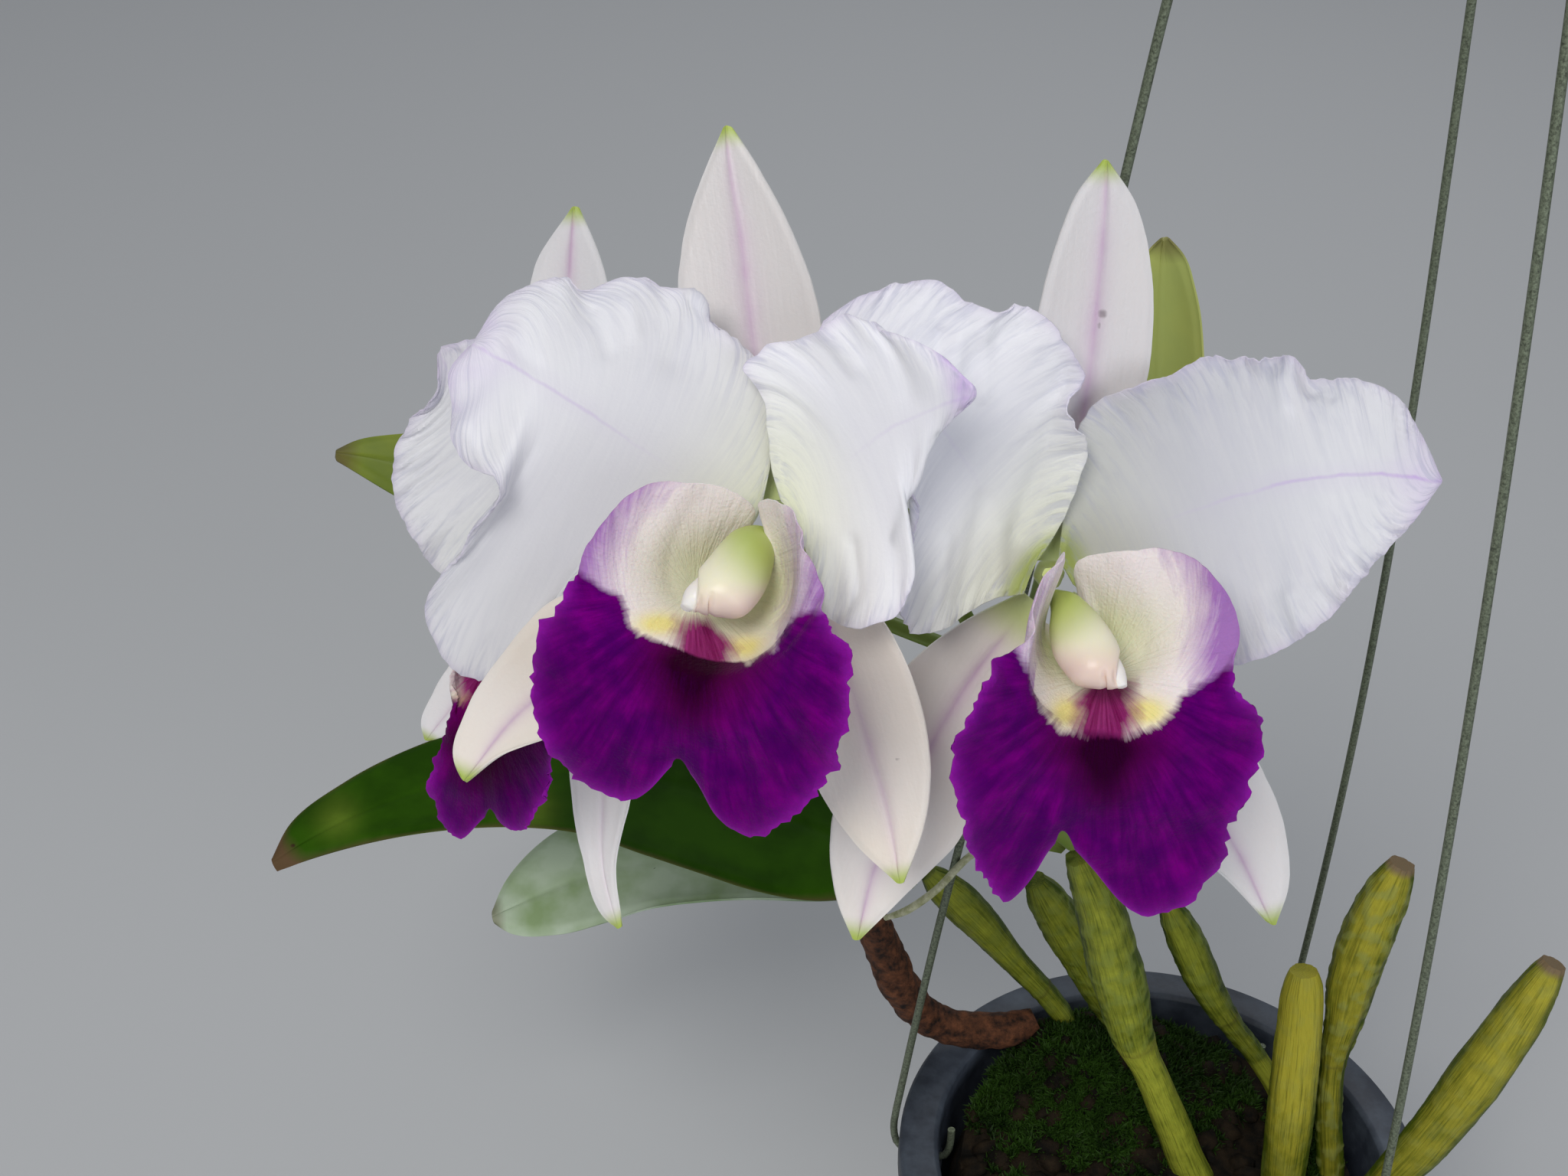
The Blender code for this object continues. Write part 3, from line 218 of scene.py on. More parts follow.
def loft(left, middle, right, cols, belly=None):
    """A grid across three curves: rows run along them, columns from left to right."""
    span = (right - left) / 2
    rise = (left + right) / 2 - middle
    side = span / (np.linalg.norm(span, axis=1)[:, None] + 1e-9)
    grid = []
    for s in np.linspace(-1.0, 1.0, cols):
        sway = math.sin(s * math.pi / 2) * 0.5 + s * 0.5
        lift = 1.0 - math.cos(s * math.pi / 2)
        line = middle + sway * span + lift * rise
        if belly is not None:
            line = line + math.sin(math.pi * s) * belly[:, None] * side
        grid.append(line)
    return np.stack(grid, axis=1)


def ruffled(grid, height, waves, phase, reach=2.5, skew=0.7):
    """Waves that grow towards both margins, raised along the sheet's normal."""
    rows, cols = grid.shape[:2]
    t = np.linspace(0.0, 1.0, rows)[:, None]
    s = np.linspace(-1.0, 1.0, cols)[None, :]
    ends = np.clip(7.0 * t - 0.9, 0.0, 1.0) * np.clip(6.5 * (1.0 - t) - 0.6, 0.0, 1.0)
    grow = np.abs(s) ** reach * ends
    turn = 2 * np.pi * waves * t + phase + skew * np.sign(s)
    wave = np.sin(turn) + 0.35 * np.sin(2.3 * turn + 1.0)
    return grid + sheet_normals(grid) * (height * grow * wave)[..., None]


def sheet_fields(grid):
    """Where each point lies on its sheet: along and across it, and in mm from its margin,
    from its midrib, and along its margins."""
    rows, cols = grid.shape[:2]
    along = np.linspace(0.0, 1.0, rows)[:, None] * np.ones((1, cols))
    across = np.ones((rows, 1)) * np.linspace(-1.0, 1.0, cols)[None, :]
    steps = np.linalg.norm(np.diff(grid, axis=1), axis=2)
    reached = np.concatenate([np.zeros((rows, 1)), np.cumsum(steps, axis=1)], axis=1)
    margin = np.minimum(reached, reached[:, -1:] - reached)
    aside = reached - reached[:, cols // 2][:, None]
    runs = []
    for edge in (grid[:, 0], grid[:, -1]):
        lengths = np.linalg.norm(np.diff(edge, axis=0), axis=1)
        runs.append(np.concatenate([[0.0], np.cumsum(lengths)])[:, None])
    share = (across + 1.0) / 2
    run = runs[0] * (1.0 - share) + runs[1] * share
    return {"along": along, "across": across, "margin": margin, "aside": aside, "run": run}


def crepe(grid, fields, height, size, depth, seed):
    """Uneven folds that run out to the margins and die away inside the sheet."""
    label = np.stack([fields["run"], 0.14 * fields["margin"], 2.0 * fields["across"]], axis=-1)
    folds = drift(label, size, seed) + 0.45 * drift(label, size * 0.45, seed + 1)
    patches = 0.3 + 0.7 * smooth_step(drift(grid, 14.0, seed + 3), -0.3, 0.4)
    ends = np.clip(6.0 * fields["along"] - 0.3, 0.0, 1.0)
    ends = ends * np.clip(9.0 * (1.0 - fields["along"]), 0.0, 1.0)
    lift = height * folds * patches * ends * np.exp(-fields["margin"] / depth)
    return grid + sheet_normals(grid) * lift[..., None]


def frayed(grid, fields, reach, size, seed):
    """The margin drawn in and out a little within the sheet, as teeth and shallow bays."""
    middle = grid[:, grid.shape[1] // 2][:, None]
    outward = grid - middle
    length = np.linalg.norm(outward, axis=2)[..., None] + 1e-6
    near = np.exp(-fields["margin"] / (2.0 * reach))[..., None]
    ends = np.clip(8.0 * fields["along"] * (1.0 - fields["along"]) - 0.2, 0.0, 1.0)[..., None]
    amount = drift(grid, size, seed) + 0.6 * drift(grid, size * 0.4, seed + 1)
    return grid + outward / length * reach * amount[..., None] * near * ends


def add_sheet(name, grid, thick, fields, finish, stands_for):
    """A thick sheet whose fields say where each point lies, and which face it is on."""
    points, faces = sheet_body(grid, thick)
    both = {key: np.tile(np.asarray(value, float).ravel(), 2) for key, value in fields.items()}
    both["front"] = np.repeat([1.0, 0.0], grid.shape[0] * grid.shape[1])
    return add_piece(name, points, faces, finish, stands_for, both)


def thin_edges(thick, fields, least=0.35, inside=1.6):
    return thick * (least + (1.0 - least) * smooth_step(fields["margin"], 0.0, inside))


# Tubes: stems, stalks, roots, columns and wires


def tube_frames(path):
    """Two unit vectors across the path at each point, carried along without twist."""
    tangent = np.gradient(path, axis=0)
    tangent /= np.linalg.norm(tangent, axis=1)[:, None]
    start = np.cross(tangent[0], [0.0, 0.0, 1.0])
    if np.linalg.norm(start) < 0.2:
        start = np.cross(tangent[0], [1.0, 0.0, 0.0])
    first = start / np.linalg.norm(start)
    firsts = []
    seconds = []
    for direction in tangent:
        first = first - direction * np.dot(first, direction)
        first = first / np.linalg.norm(first)
        firsts.append(first)
        seconds.append(np.cross(direction, first))
    return np.array(firsts), np.array(seconds)


def tube_points(path, radii, sides, flatten=1.0):
    """A grid of points round a path, and their angles. Radii is one a ring or one a point."""
    first, second = tube_frames(path)
    angle = 2 * np.pi * np.arange(sides) / sides
    reach = np.asarray(radii, float)
    if reach.ndim == 1:
        reach = reach[:, None] * np.ones(sides)
    out = np.cos(angle)[None, :, None] * first[:, None]
    out = out + flatten * np.sin(angle)[None, :, None] * second[:, None]
    return path[:, None] + reach[..., None] * out


def tube_faces(rings, sides, start=0):
    """Faces of a tube whose ends are closed on one point each, after its rings' points."""
    a = (np.arange(rings - 1)[:, None] * sides + np.arange(sides)[None, :]).ravel()
    b = (np.arange(rings - 1)[:, None] * sides + (np.arange(sides)[None, :] + 1) % sides).ravel()
    faces = [tuple(f) for f in np.stack([a, b, b + sides, a + sides], axis=1) + start]
    tip = start + rings * sides
    last = start + (rings - 1) * sides
    for k in range(sides):
        after = (k + 1) % sides
        faces.append((tip, start + after, start + k))
        faces.append((tip + 1, last + k, last + after))
    return faces


def add_tube(name, grid, path, finish, stands_for=None, fields=None, flat_angle=60.0):
    """A closed tube from a grid of points round a path."""
    rings, sides = grid.shape[:2]
    points = np.concatenate([grid.reshape(-1, 3), [path[0], path[-1]]])
    ends = {}
    for key, values in (fields or {}).items():
        values = np.asarray(values, float)
        ends[key] = np.concatenate([values.ravel(), [values[0].mean(), values[-1].mean()]])
    faces = tube_faces(rings, sides)
    return add_piece(name, points, faces, finish, stands_for, ends, flat_angle)


def swell(count, stations):
    """Radii along a tube, from (place 0 to 1, radius) stations, without corners."""
    places = np.linspace(0.0, 1.0, 400)
    radii = np.interp(places, [s[0] for s in stations], [s[1] for s in stations])
    width = np.hanning(41)
    padded = np.pad(radii, 20, mode="reflect", reflect_type="odd")
    soft = np.convolve(padded, width / width.sum(), mode="valid")
    return np.interp(np.linspace(0.0, 1.0, count), places, soft)


# Pseudobulbs: route on the sheet with depth, then radii along it, in mm

BULBS = {
    "pseudobulb_front": (
        [(1600, 1620, 576), (1572, 1560, 563), (1550, 1516, 553), (1527, 1459, 539),
         (1503, 1402, 526), (1479, 1350, 514), (1468, 1304, 505), (1453, 1248, 495),
         (1434, 1180, 484), (1408, 1118, 474)],
        [(0, 3.4), (0.2, 4.5), (0.34, 4.2), (0.46, 3.8), (0.53, 3.7), (0.61, 5.0), (0.73, 5.9),
         (0.86, 5.5), (0.95, 4.2), (1, 2.6)],
        "bulb_skin",
    ),
    "pseudobulb_middle": (
        [(1512, 1440, 602), (1470, 1345, 578), (1415, 1250, 556), (1352, 1150, 535)],
        [(0, 3.2), (0.3, 3.8), (0.55, 5.0), (0.8, 5.5), (0.94, 4.4), (1, 2.4)],
        "bulb_skin",
    ),
    "pseudobulb_left": (
        [(1432, 1406, 592), (1418, 1382, 586), (1382, 1318, 579), (1325, 1255, 570),
         (1262, 1186, 560), (1212, 1140, 553)],
        [(0, 2.6), (0.42, 2.8), (0.55, 3.2), (0.7, 4.3), (0.85, 5.0), (0.95, 4.0), (1, 2.2)],
        "bulb_skin",
    ),
    "pseudobulb_back": (
        [(1684, 1462, 583), (1668, 1425, 577), (1640, 1378, 569), (1603, 1331, 561),
         (1574, 1284, 553), (1549, 1228, 544), (1525, 1180, 536)],
        [(0, 2.6), (0.3, 2.5), (0.45, 2.7), (0.58, 3.5), (0.7, 4.4), (0.85, 4.4), (0.95, 3.4), (1, 2.0)],
        "bulb_skin",
    ),
    "pseudobulb_stub": (
        [(1668, 1590, 562), (1676, 1530, 553), (1686, 1450, 544), (1697, 1350, 535),
         (1703, 1268, 528)],
        [(0, 4.0), (0.2, 5.2), (0.45, 5.7), (0.7, 5.5), (0.9, 4.8), (0.97, 4.2), (1, 3.2)],
        "dry_bulb_skin",
    ),
    "pseudobulb_bare": (
        [(1742, 1590, 566), (1738, 1530, 560), (1737, 1421, 550), (1743, 1375, 545),
         (1757, 1322, 539), (1771, 1262, 533), (1797, 1195, 525), (1832, 1128, 518)],
        [(0, 3.0), (0.36, 3.1), (0.45, 3.0), (0.54, 4.0), (0.67, 5.6), (0.8, 6.0), (0.91, 5.2),
         (0.97, 4.0), (1, 2.8)],
        "dry_bulb_skin",
    ),
    "pseudobulb_leaning": (
        [(1738, 1612, 553), (1790, 1560, 540), (1853, 1500, 528), (1917, 1421, 520),
         (1977, 1338, 512), (2030, 1258, 505)],
        [(0, 3.0), (0.2, 3.6), (0.42, 5.3), (0.65, 6.2), (0.84, 5.4), (0.95, 4.0), (1, 2.6)],
        "dry_bulb_skin",
    ),
}
# Leaves: left edge, middle and right edge from foot to tip, on the sheet with depth

LEAVES = {
    "leaf_large": (
        [(1196, 1118, 556), (1130, 1050, 566), (1040, 985, 572), (900, 930, 574),
         (740, 925, 572), (571, 965, 566), (451, 1022, 556), (377, 1080, 546), (356, 1122, 540)],
        [(1200, 1126, 553), (1120, 1104, 556), (1000, 1062, 558), (840, 1020, 558),
         (690, 1012, 556), (560, 1032, 552), (450, 1072, 546), (356, 1128, 539)],
        [(1196, 1136, 551), (1150, 1162, 548), (1078, 1176, 545), (979, 1161, 542),
         (921, 1142, 541), (843, 1116, 540), (754, 1087, 540), (686, 1080, 540),
         (571, 1085, 540), (425, 1116, 540), (362, 1138, 539)],
    ),
    "leaf_pale": (
        [(1196, 1146, 561), (1080, 1110, 582), (960, 1060, 590), (820, 1050, 590),
         (717, 1093, 583), (660, 1153, 574), (643, 1190, 568)],
        [(1196, 1152, 559), (1060, 1150, 574), (940, 1130, 578), (820, 1130, 576),
         (730, 1158, 572), (643, 1199, 567)],
        [(1192, 1160, 558), (1080, 1176, 564), (984, 1174, 566), (921, 1177, 566),
         (843, 1188, 566), (791, 1205, 566), (728, 1221, 566), (660, 1216, 566),
         (646, 1206, 566)],
    ),
    "leaf_far_left": (
        [(1396, 1098, 479), (1300, 1020, 476), (1230, 950, 478), (1080, 800, 490), (860, 640, 514),
         (640, 570, 532), (517, 568, 528), (466, 576, 524), (440, 588, 521)],
        [(1392, 1106, 480), (1290, 1060, 478), (1200, 1000, 480), (1000, 850, 498), (780, 710, 518),
         (600, 630, 526), (500, 602, 522), (438, 594, 519)],
        [(1386, 1114, 481), (1280, 1092, 480), (1180, 1060, 482), (960, 930, 500), (740, 790, 515),
         (600, 690, 519), (512, 645, 518), (460, 614, 518), (440, 602, 518)],
    ),
    "leaf_upright": (
        [(1510, 1168, 535), (1490, 1040, 520), (1466, 880, 506), (1456, 700, 494),
         (1462, 520, 484), (1480, 390, 476), (1502, 326, 472), (1516, 312, 470)],
        [(1526, 1164, 534), (1526, 1000, 524), (1516, 840, 512), (1510, 680, 500),
         (1512, 520, 489), (1516, 400, 480), (1521, 312, 471)],
        [(1543, 1160, 532), (1564, 1040, 516), (1582, 880, 502), (1584, 700, 490),
         (1574, 520, 480), (1561, 380, 472), (1546, 334, 470), (1527, 312, 469)],
    ),
}


# Blooms: each form is drawn round its bloom's centre, (across, up, towards the viewer)

BLOOMS = {
    "a": {"centre": (1010, 672, 408), "turn": 0.40, "nod": 0.10},
    "b": {"centre": (1370, 750, 424), "turn": -0.30, "nod": 0.24},
    "c": {"centre": (735, 735, 462), "turn": 0.60, "nod": 0.10},
}

# Tepals: left margin, midrib and right margin from foot to tip
SEPALS = {
    "a_dorsal": (
        [(-3, 2.6, 0), (-9, 14, 0), (-15, 28, 0), (-17.3, 42, -0.5), (-15.5, 54, -1),
         (-12.3, 63, -1), (-9.2, 70.2, -1)],
        [(0, 2.6, -1), (-1.5, 16, -1.6), (-3.5, 32, -2.2), (-5.6, 50, -2), (-7.8, 64, -1.4), (-8.4, 70.8, -1)],
        [(3, 2.6, 0), (7.2, 14, 0), (9.3, 28, 0), (7.6, 40, -0.5), (3.2, 52, -1), (-2.6, 63, -1),
         (-7.4, 70.4, -1)],
    ),
    "a_left": (
        [(-3.4, -3.0, 0), (-14, -8.4, 2), (-26, -12.8, 4), (-39.3, -15.1, 8), (-49.2, -25.2, 11), (-55.9, -35.5, 13),
         (-58.2, -44.9, 14), (-56.9, -47.9, 14)],
        [(-4.2, -4.2, -1), (-18, -16, 1), (-34, -27, 6), (-47, -37, 10), (-56.2, -48.6, 13)],
        [(-4.4, -6.2, 0), (-14, -24, 2), (-30, -36.5, 7), (-41, -40.6, 11), (-52, -45.1, 13),
         (-55.8, -48.2, 14)],
    ),
    "a_right": (
        [(1.2, -5.6, 0), (2.5, -20, 0), (4.2, -34, 1), (7.9, -49.4, 1), (15, -60, 0), (22.4, -67, 0)],
        [(3, -4.6, -1), (11, -22, -2), (17, -40, -1.5), (21.4, -56, -0.8), (23.1, -67.2, 0)],
        [(4.6, -3.2, 0), (14, -12, 0), (21.6, -22, 1), (26.6, -34, 1), (28.6, -46, 1),
         (27.4, -57, 0), (23.8, -67, 0)],
    ),
    "b_dorsal": (
        [(-3, 2.6, 0), (-3.6, 14, 2.6), (-4.4, 30, 5.8), (-2, 47, 10.6), (1.4, 60, 15), (5.6, 70, 18),
         (9.6, 75, 19.6)],
        [(0, 2.6, -1), (4, 18, 2.4), (7, 36, 6.4), (9, 55, 12.4), (10, 68, 17), (10.3, 75.5, 19.6)],
        [(3, 2.6, 0), (10.5, 14, 2.6), (16, 28, 5.6), (18.8, 42, 9.6), (18.6, 56, 14.2), (15.6, 68, 17.8),
         (11, 75.1, 19.6)],
    ),
    "b_left": (
        [(-4.6, -3.2, 0), (-16, -9, 0), (-27, -18, 0), (-35, -32, 1), (-39.6, -46, 1), (-38.4, -60, 0),
         (-35.8, -66.4, 0)],
        [(-3, -4.6, -1), (-15, -20, -2), (-25, -38, -2), (-32, -54, -1), (-35, -66.6, 0)],
        [(-1.2, -5.6, 0), (-6, -22, 0), (-11.5, -38, 0), (-16.5, -48.6, 0), (-24.3, -56.6, 0),
         (-34.2, -66.3, 0)],
    ),
    "b_right": (
        [(1.2, -5.6, 0), (6, -22, 0), (14, -38, 0), (24, -49, 0), (31.2, -54.4, -1), (39.9, -63.4, -3)],
        [(3, -4.6, -1), (14, -20, -2), (25, -36, -2), (34, -50, -2), (40.6, -63.8, -3)],
        [(4.6, -3.2, 0), (18, -12, 0), (30, -23, 0), (38, -34, 0), (43.3, -48, -1), (43.6, -57, -2),
         (41.3, -63.8, -3)],
    ),
    "c_dorsal": (
        [(-3, 2.6, 0), (-6, 16, 0), (-8, 30, 0), (-7, 44, 0), (-4.6, 55, -1), (1.6, 64.6, -1)],
        [(0, 2.6, -1), (0.4, 20, -2), (0.8, 40, -2), (1.6, 54, -2), (2.3, 64.9, -1)],
        [(3, 2.6, 0), (7, 16, 0), (9.6, 30, 0), (9.2, 44, 0), (7, 55, -1), (3, 64.6, -1)],
    ),
    "c_left": (
        [(-4.2, -2.8, 0), (-12, -8, 2), (-19, -16.5, 4), (-23.8, -24, 6), (-25.8, -29.6, 7), (-25.2, -32, 7)],
        [(-4.2, -4.4, -1), (-10, -13, 1), (-16, -21, 3), (-21, -27.5, 5), (-24.8, -32.4, 7)],
        [(-3.6, -6.2, 0), (-8, -18, 2), (-13, -26.5, 4), (-19, -30.8, 6), (-24.2, -32.3, 7)],
    ),
    "c_right": (
        [(1.2, -5.6, 0), (0, -20, 0), (1, -36, -2), (3.2, -52, -4), (8.4, -65.4, -6), (9.8, -66.4, -6)],
        [(3, -4.8, -1), (6, -22, -2), (7.4, -42, -4), (7.6, -56, -5), (10.2, -66.6, -6)],
        [(4.6, -3.4, 0), (11.5, -14, 0), (13.6, -28, 0), (12.4, -42, -2), (9.6, -56, -4), (10.8, -66.2, -6)],
    ),
}

PETALS = {
    "a_left": (
        [(-2.0, 2.9, 0), (-0.7, 9, -1), (-0.5, 15.6, -1.6), (-0.9, 24.9, -2.4), (-4.4, 29.8, -2.2), (-11.4, 35.3, -1),
         (-16.6, 40.6, -1),
         (-21.3, 41.7, 1), (-27.8, 43.2, -1), (-34.8, 40.9, 1.5), (-39, 42.7, 0), (-43.8, 42.1, -1.5),
         (-49.7, 38.8, -2), (-54.2, 32.2, -2)],
        [(-2.8, 0.2, -1), (-14, 6, -2), (-28, 15, -3), (-42, 24, -3), (-54.6, 31.2, -2)],
        [(-4, -1.8, 0), (-14, -2.8, -1), (-26, -6, -4), (-36, -11.5, -9.6), (-43, -19, -15.6),
         (-48.5, -26.4, -20), (-54, -30.2, -22),
         (-59.3, -27.4, -21.4), (-63.5, -18.4, -18), (-61.6, -12, -14.4), (-56.8, -6.7, -9), (-51.6, 0, -3),
         (-50.4, 6, 1), (-56.4, 9.5, -4), (-58.4, 13, -4), (-58.6, 20, 0), (-59.2, 25.8, 0), (-55.6, 30.6, -2)],
    ),
    "a_right": (
        [(1.4, 2.4, 0.2), (-0.2, 8, 0.4), (-1.0, 14, 0.8), (-2.2, 22, 2.4), (-5.9, 27.2, 3.5), (-1.4, 30.4, 2), (4.6, 31.9, 0),
         (8.8, 33.8, 0), (14.3, 36.4, 1), (18, 35.2, -1), (23.6, 32.4, 1), (29.1, 30.1, 0), (36, 24, 0)],
        [(3.2, 0.4, -1), (10, 6.5, -3), (19, 14, -3), (28.5, 19.2, -2), (36.8, 22, 0)],
        [(4.2, -1.6, 0), (7, -10, 0), (9.2, -18, 0), (15.7, -21, 0), (20.8, -18.9, -1), (25.2, -13.4, -3),
         (21.9, -5, -4.4), (23.1, 1, -5.6), (25, 6.1, -6), (26.8, 11, -5.6), (29.4, 15.3, -4.4), (32.6, 18.4, -2.4),
         (35.8, 20.4, -0.4)],
    ),
    "b_left": (
        [(-4.6, -3.6, 0), (-10, -4.6, 0), (-14.8, -7, 0), (-19, -10, 1), (-24, -10.6, 1), (-28, -7, 0), (-26.2, 0.3, 0),
         (-24.6, 9, -1), (-25.4, 17, -3), (-32, 27, -8), (-39, 36, -12), (-42.6, 43.2, -17)],
        [(-3.2, 0.4, -1), (-10, 12, -3), (-20, 27, -6), (-31, 38, -11), (-41.6, 45, -17)],
        [(-1.8, 2.8, 0), (0.6, 6.4, 0.5), (4.7, 14.6, 2), (6.8, 24, 3.5), (3.4, 31.3, 4), (6.1, 36, 5), (3.4, 42, 3),
         (-2.1, 47.8, -1), (-10, 47.7, -2), (-14.6, 49.8, -6), (-19.7, 53.1, -7), (-29.4, 52.4, -12),
         (-38.7, 48, -16), (-41.2, 46, -17)],
    ),
    "b_right": (
        [(1.8, 2.6, 0), (3.2, 14, -1.5), (7.1, 28.7, -2), (12, 32.8, -1), (18, 35.6, 1), (23.2, 36.5, -1),
         (29.1, 38.4, 1), (33.8, 39.6, -1), (39.7, 39.9, 1), (45.6, 38.6, -1), (48.1, 35.8, 1),
         (54.5, 36.3, -1), (62, 33.5, 1), (68, 25.2, 0), (71.4, 17.8, 0)],
        [(3.2, 0.4, -1), (21.3, 9.7, -3), (39.7, 15.9, -3), (56.9, 18.3, -2), (71.6, 17, 0)],
        [(4.4, -1.8, 0), (14, -9, 0), (24, -15, 0), (34.7, -16.6, 0), (41.1, -14.3, 1), (49.9, -9, -1),
         (56.9, -1.1, 1), (61.5, 4.4, -1), (65.7, 8.6, 1), (71.2, 16.2, 0)],
    ),
    "c_left": (
        [(-1.8, 2.8, 0), (-2, 15, 0), (-3, 28, 0), (-9, 37, 1), (-16, 40.6, -1), (-22.2, 39.4, 0)],
        [(-3, 0.4, -1), (-10, 12, -4), (-17.5, 26, -4), (-22.4, 38.6, 0)],
        [(-3.8, -1.8, 0), (-13, -3.4, 1), (-22.9, -1.6, -1), (-27.8, 5.3, 1), (-30.6, 12, -1),
         (-30.7, 19.5, 1), (-26.9, 26.9, -1), (-23, 30.6, 1), (-22.9, 38, 0)],
    ),
    "c_right": (
        [(1.4, 2.6, 0), (1.4, 14, 0), (4, 26, 1), (11, 33, -1), (19, 34, 1), (26, 29, 0), (31.2, 21.6, 0)],
        [(2.8, 0.4, -1), (11, 7, -3), (21, 14, -3), (31.4, 20.6, 0)],
        [(3.8, -1.6, 0), (10, -10, 1), (18, -13.4, -1), (25, -8, 1), (28, 2, -1), (29, 12, 1), (31, 19.6, 0)],
    ),
}

# Lips: stations from the foot to the notch of the front lobe, each with its left margin,
# middle and right margin, and how far the tube swells between them
LIPS = {
    "a": [
        ((-4.2, -3.4, 0), (-1.4, -9.4, -2), (2.2, -4.0, 0), 1.6),
        ((-3.6, 1.4, 6), (-4.6, -14.6, 3), (-2.7, 1.7, 7), 5.8),
        ((-12.3, 5.8, 14), (-9.4, -20.8, 10), (1.6, 2.4, 14), 7.7),
        ((-23.4, 5.0, 21), (-13.4, -26, 17), (4.8, -3.4, 20), 5.4),
        ((-32.6, -3.2, 24), (-15.2, -29.4, 21), (7.8, -10.8, 24), 1.9),
        ((-36.8, -12.8, 25), (-16, -32.4, 22), (9.4, -18.0, 25), 0.0),
        ((-43.4, -24, 25), (-16.4, -35.4, 22.4), (13, -25, 26), 0.0),
        ((-43, -38, 22), (-16.7, -38.4, 22), (13.4, -40, 23), 0.0),
        ((-36.5, -47.4, 18), (-16.9, -41, 21), (7, -52, 18), 0.0),
        ((-26, -52, 16), (-17, -43.2, 19.6), (-5.4, -58.6, 15), 0.0),
        ((-18.6, -46, 17.6), (-17, -44.4, 18.8), (-15.2, -47.4, 17.6), 0.0),
    ],
    "b": [
        ((-1.6, -4.4, 0), (2, -9.4, -2), (5.2, -3.6, 0), 1.6),
        ((2.6, 1.6, 7), (4.4, -14.6, 3), (5.2, 2.2, 6), 5.8),
        ((2.6, 4.2, 13), (7.6, -20.4, 10), (13.6, 4.4, 13), 7.7),
        ((-1.6, -3.6, 20), (9.6, -25.2, 17), (26.4, 2.8, 19), 5.4),
        ((-4.9, -12.4, 24), (10.6, -29, 21), (34.2, -8, 22), 1.9),
        ((-9.6, -16.6, 25), (10.6, -32.6, 22), (33.8, -18, 24), 0.0),
        ((-16.6, -28.5, 25), (9.6, -36.2, 22.4), (39.6, -28.6, 24), 0.0),
        ((-16.4, -42, 22), (7.8, -39.6, 22), (34.6, -42, 22), 0.0),
        ((-13, -54, 18), (5.6, -42.6, 21), (30.6, -54.4, 18), 0.0),
        ((-7.6, -59.4, 15), (3.6, -45.2, 19.6), (19, -62, 15), 0.0),
        ((1.2, -49, 17.6), (2.4, -46.4, 18.8), (4.6, -50, 17.6), 0.0),
    ],
    "c": [
        ((-5.6, -5.6, 0), (-2, -9.4, -2), (1.6, -6.4, 0), 1.0),
        ((-10, -3, 3), (-5.4, -14.4, 2), (0.6, -5, 6), 3.2),
        ((-15, -3, 7), (-9.4, -21, 5), (-1.6, -6, 12), 4.2),
        ((-19, -10, 10), (-12.4, -26.5, 9), (-1.2, -12, 17), 2.6),
        ((-19.6, -19, 11), (-13.6, -30.6, 12), (-1.4, -19, 20), 1.0),
        ((-20, -26, 11), (-14, -34, 13), (-1.2, -26, 21), 0.0),
        ((-22.4, -34, 10), (-14, -37.4, 13.4), (-1, -33, 21), 0.0),
        ((-23.8, -43.6, 8), (-13.8, -40.6, 13), (-3.6, -42.6, 19), 0.0),
        ((-19, -50, 6), (-13.6, -43, 12.4), (-8.4, -49, 15), 0.0),
        ((-14.6, -46.6, 10), (-13.4, -44.8, 11.8), (-12, -46.4, 12), 0.0),
    ],
}

# Columns: upper and lower edge, then how far forward, from the foot to the anther
COLUMNS = {
    "a": [((-2.3, -2.9), (0.2, -4.9), 1.4), ((-5.0, -2.7), (0.0, -7.1), 5.5),
          ((-7.8, -3.7), (-0.2, -9.9), 9.5), ((-10.0, -5.9), (-1.0, -12.8), 13.5),
          ((-12.2, -8.6), (-2.8, -15.8), 17.0), ((-14.6, -11.6), (-5.4, -18.1), 20.0),
          ((-16.2, -14.2), (-9.6, -18.2), 22.0), ((-16.9, -16.8), (-14.0, -17.6), 23.4)],
    "b": [((1.9, -2.9), (0.2, -5.0), 1.4), ((5.3, -4.1), (0.4, -7.2), 5.5),
          ((7.9, -6.4), (0.1, -10.9), 9.5), ((10.6, -9.6), (0.8, -14.6), 13.5),
          ((12.4, -12.5), (2.7, -17.5), 17.0), ((13.5, -15.2), (4.9, -19.8), 20.0),
          ((14.2, -18.0), (8.4, -20.6), 22.0), ((14.3, -20.4), (12.0, -20.8), 23.4)],
    "c": [((-2.6, -2.6), (0.4, -4.6), 1.4), ((-6.5, -4.0), (-1.5, -8.8), 4.0),
          ((-11.4, -8.6), (-6.6, -13.6), 7.6), ((-16.4, -13.4), (-12.0, -18.0), 10.6),
          ((-18.0, -17.4), (-16.0, -19.4), 12.6)],
}
COLUMN_DEPTH = 0.8

PETAL_FRONT = -2.5
PETAL_SWEEP = 0.22
SEPAL_BACK = -5.8
SEPAL_SWEEP = -0.08


def bloom_point(bloom, point, base, sweep):
    """A drawn point of a bloom in space: its plane is turned, and its tepals swept."""
    across, up, lift = point
    across_c, down_c, depth = bloom["centre"]
    towards = bloom["turn"] * across + bloom["nod"] * up + base + lift
    towards += sweep * math.hypot(across, up)
    return spot(across_c + DRAWN_UNIT * across, down_c - DRAWN_UNIT * up, depth - towards)


def tepal_grid(bloom, margins, base, sweep, rows, cols):
    curves = []
    for points in margins:
        placed = [bloom_point(bloom, p, base, sweep) for p in points]
        curves.append(spline(placed, rows))
    return loft(*curves, cols)


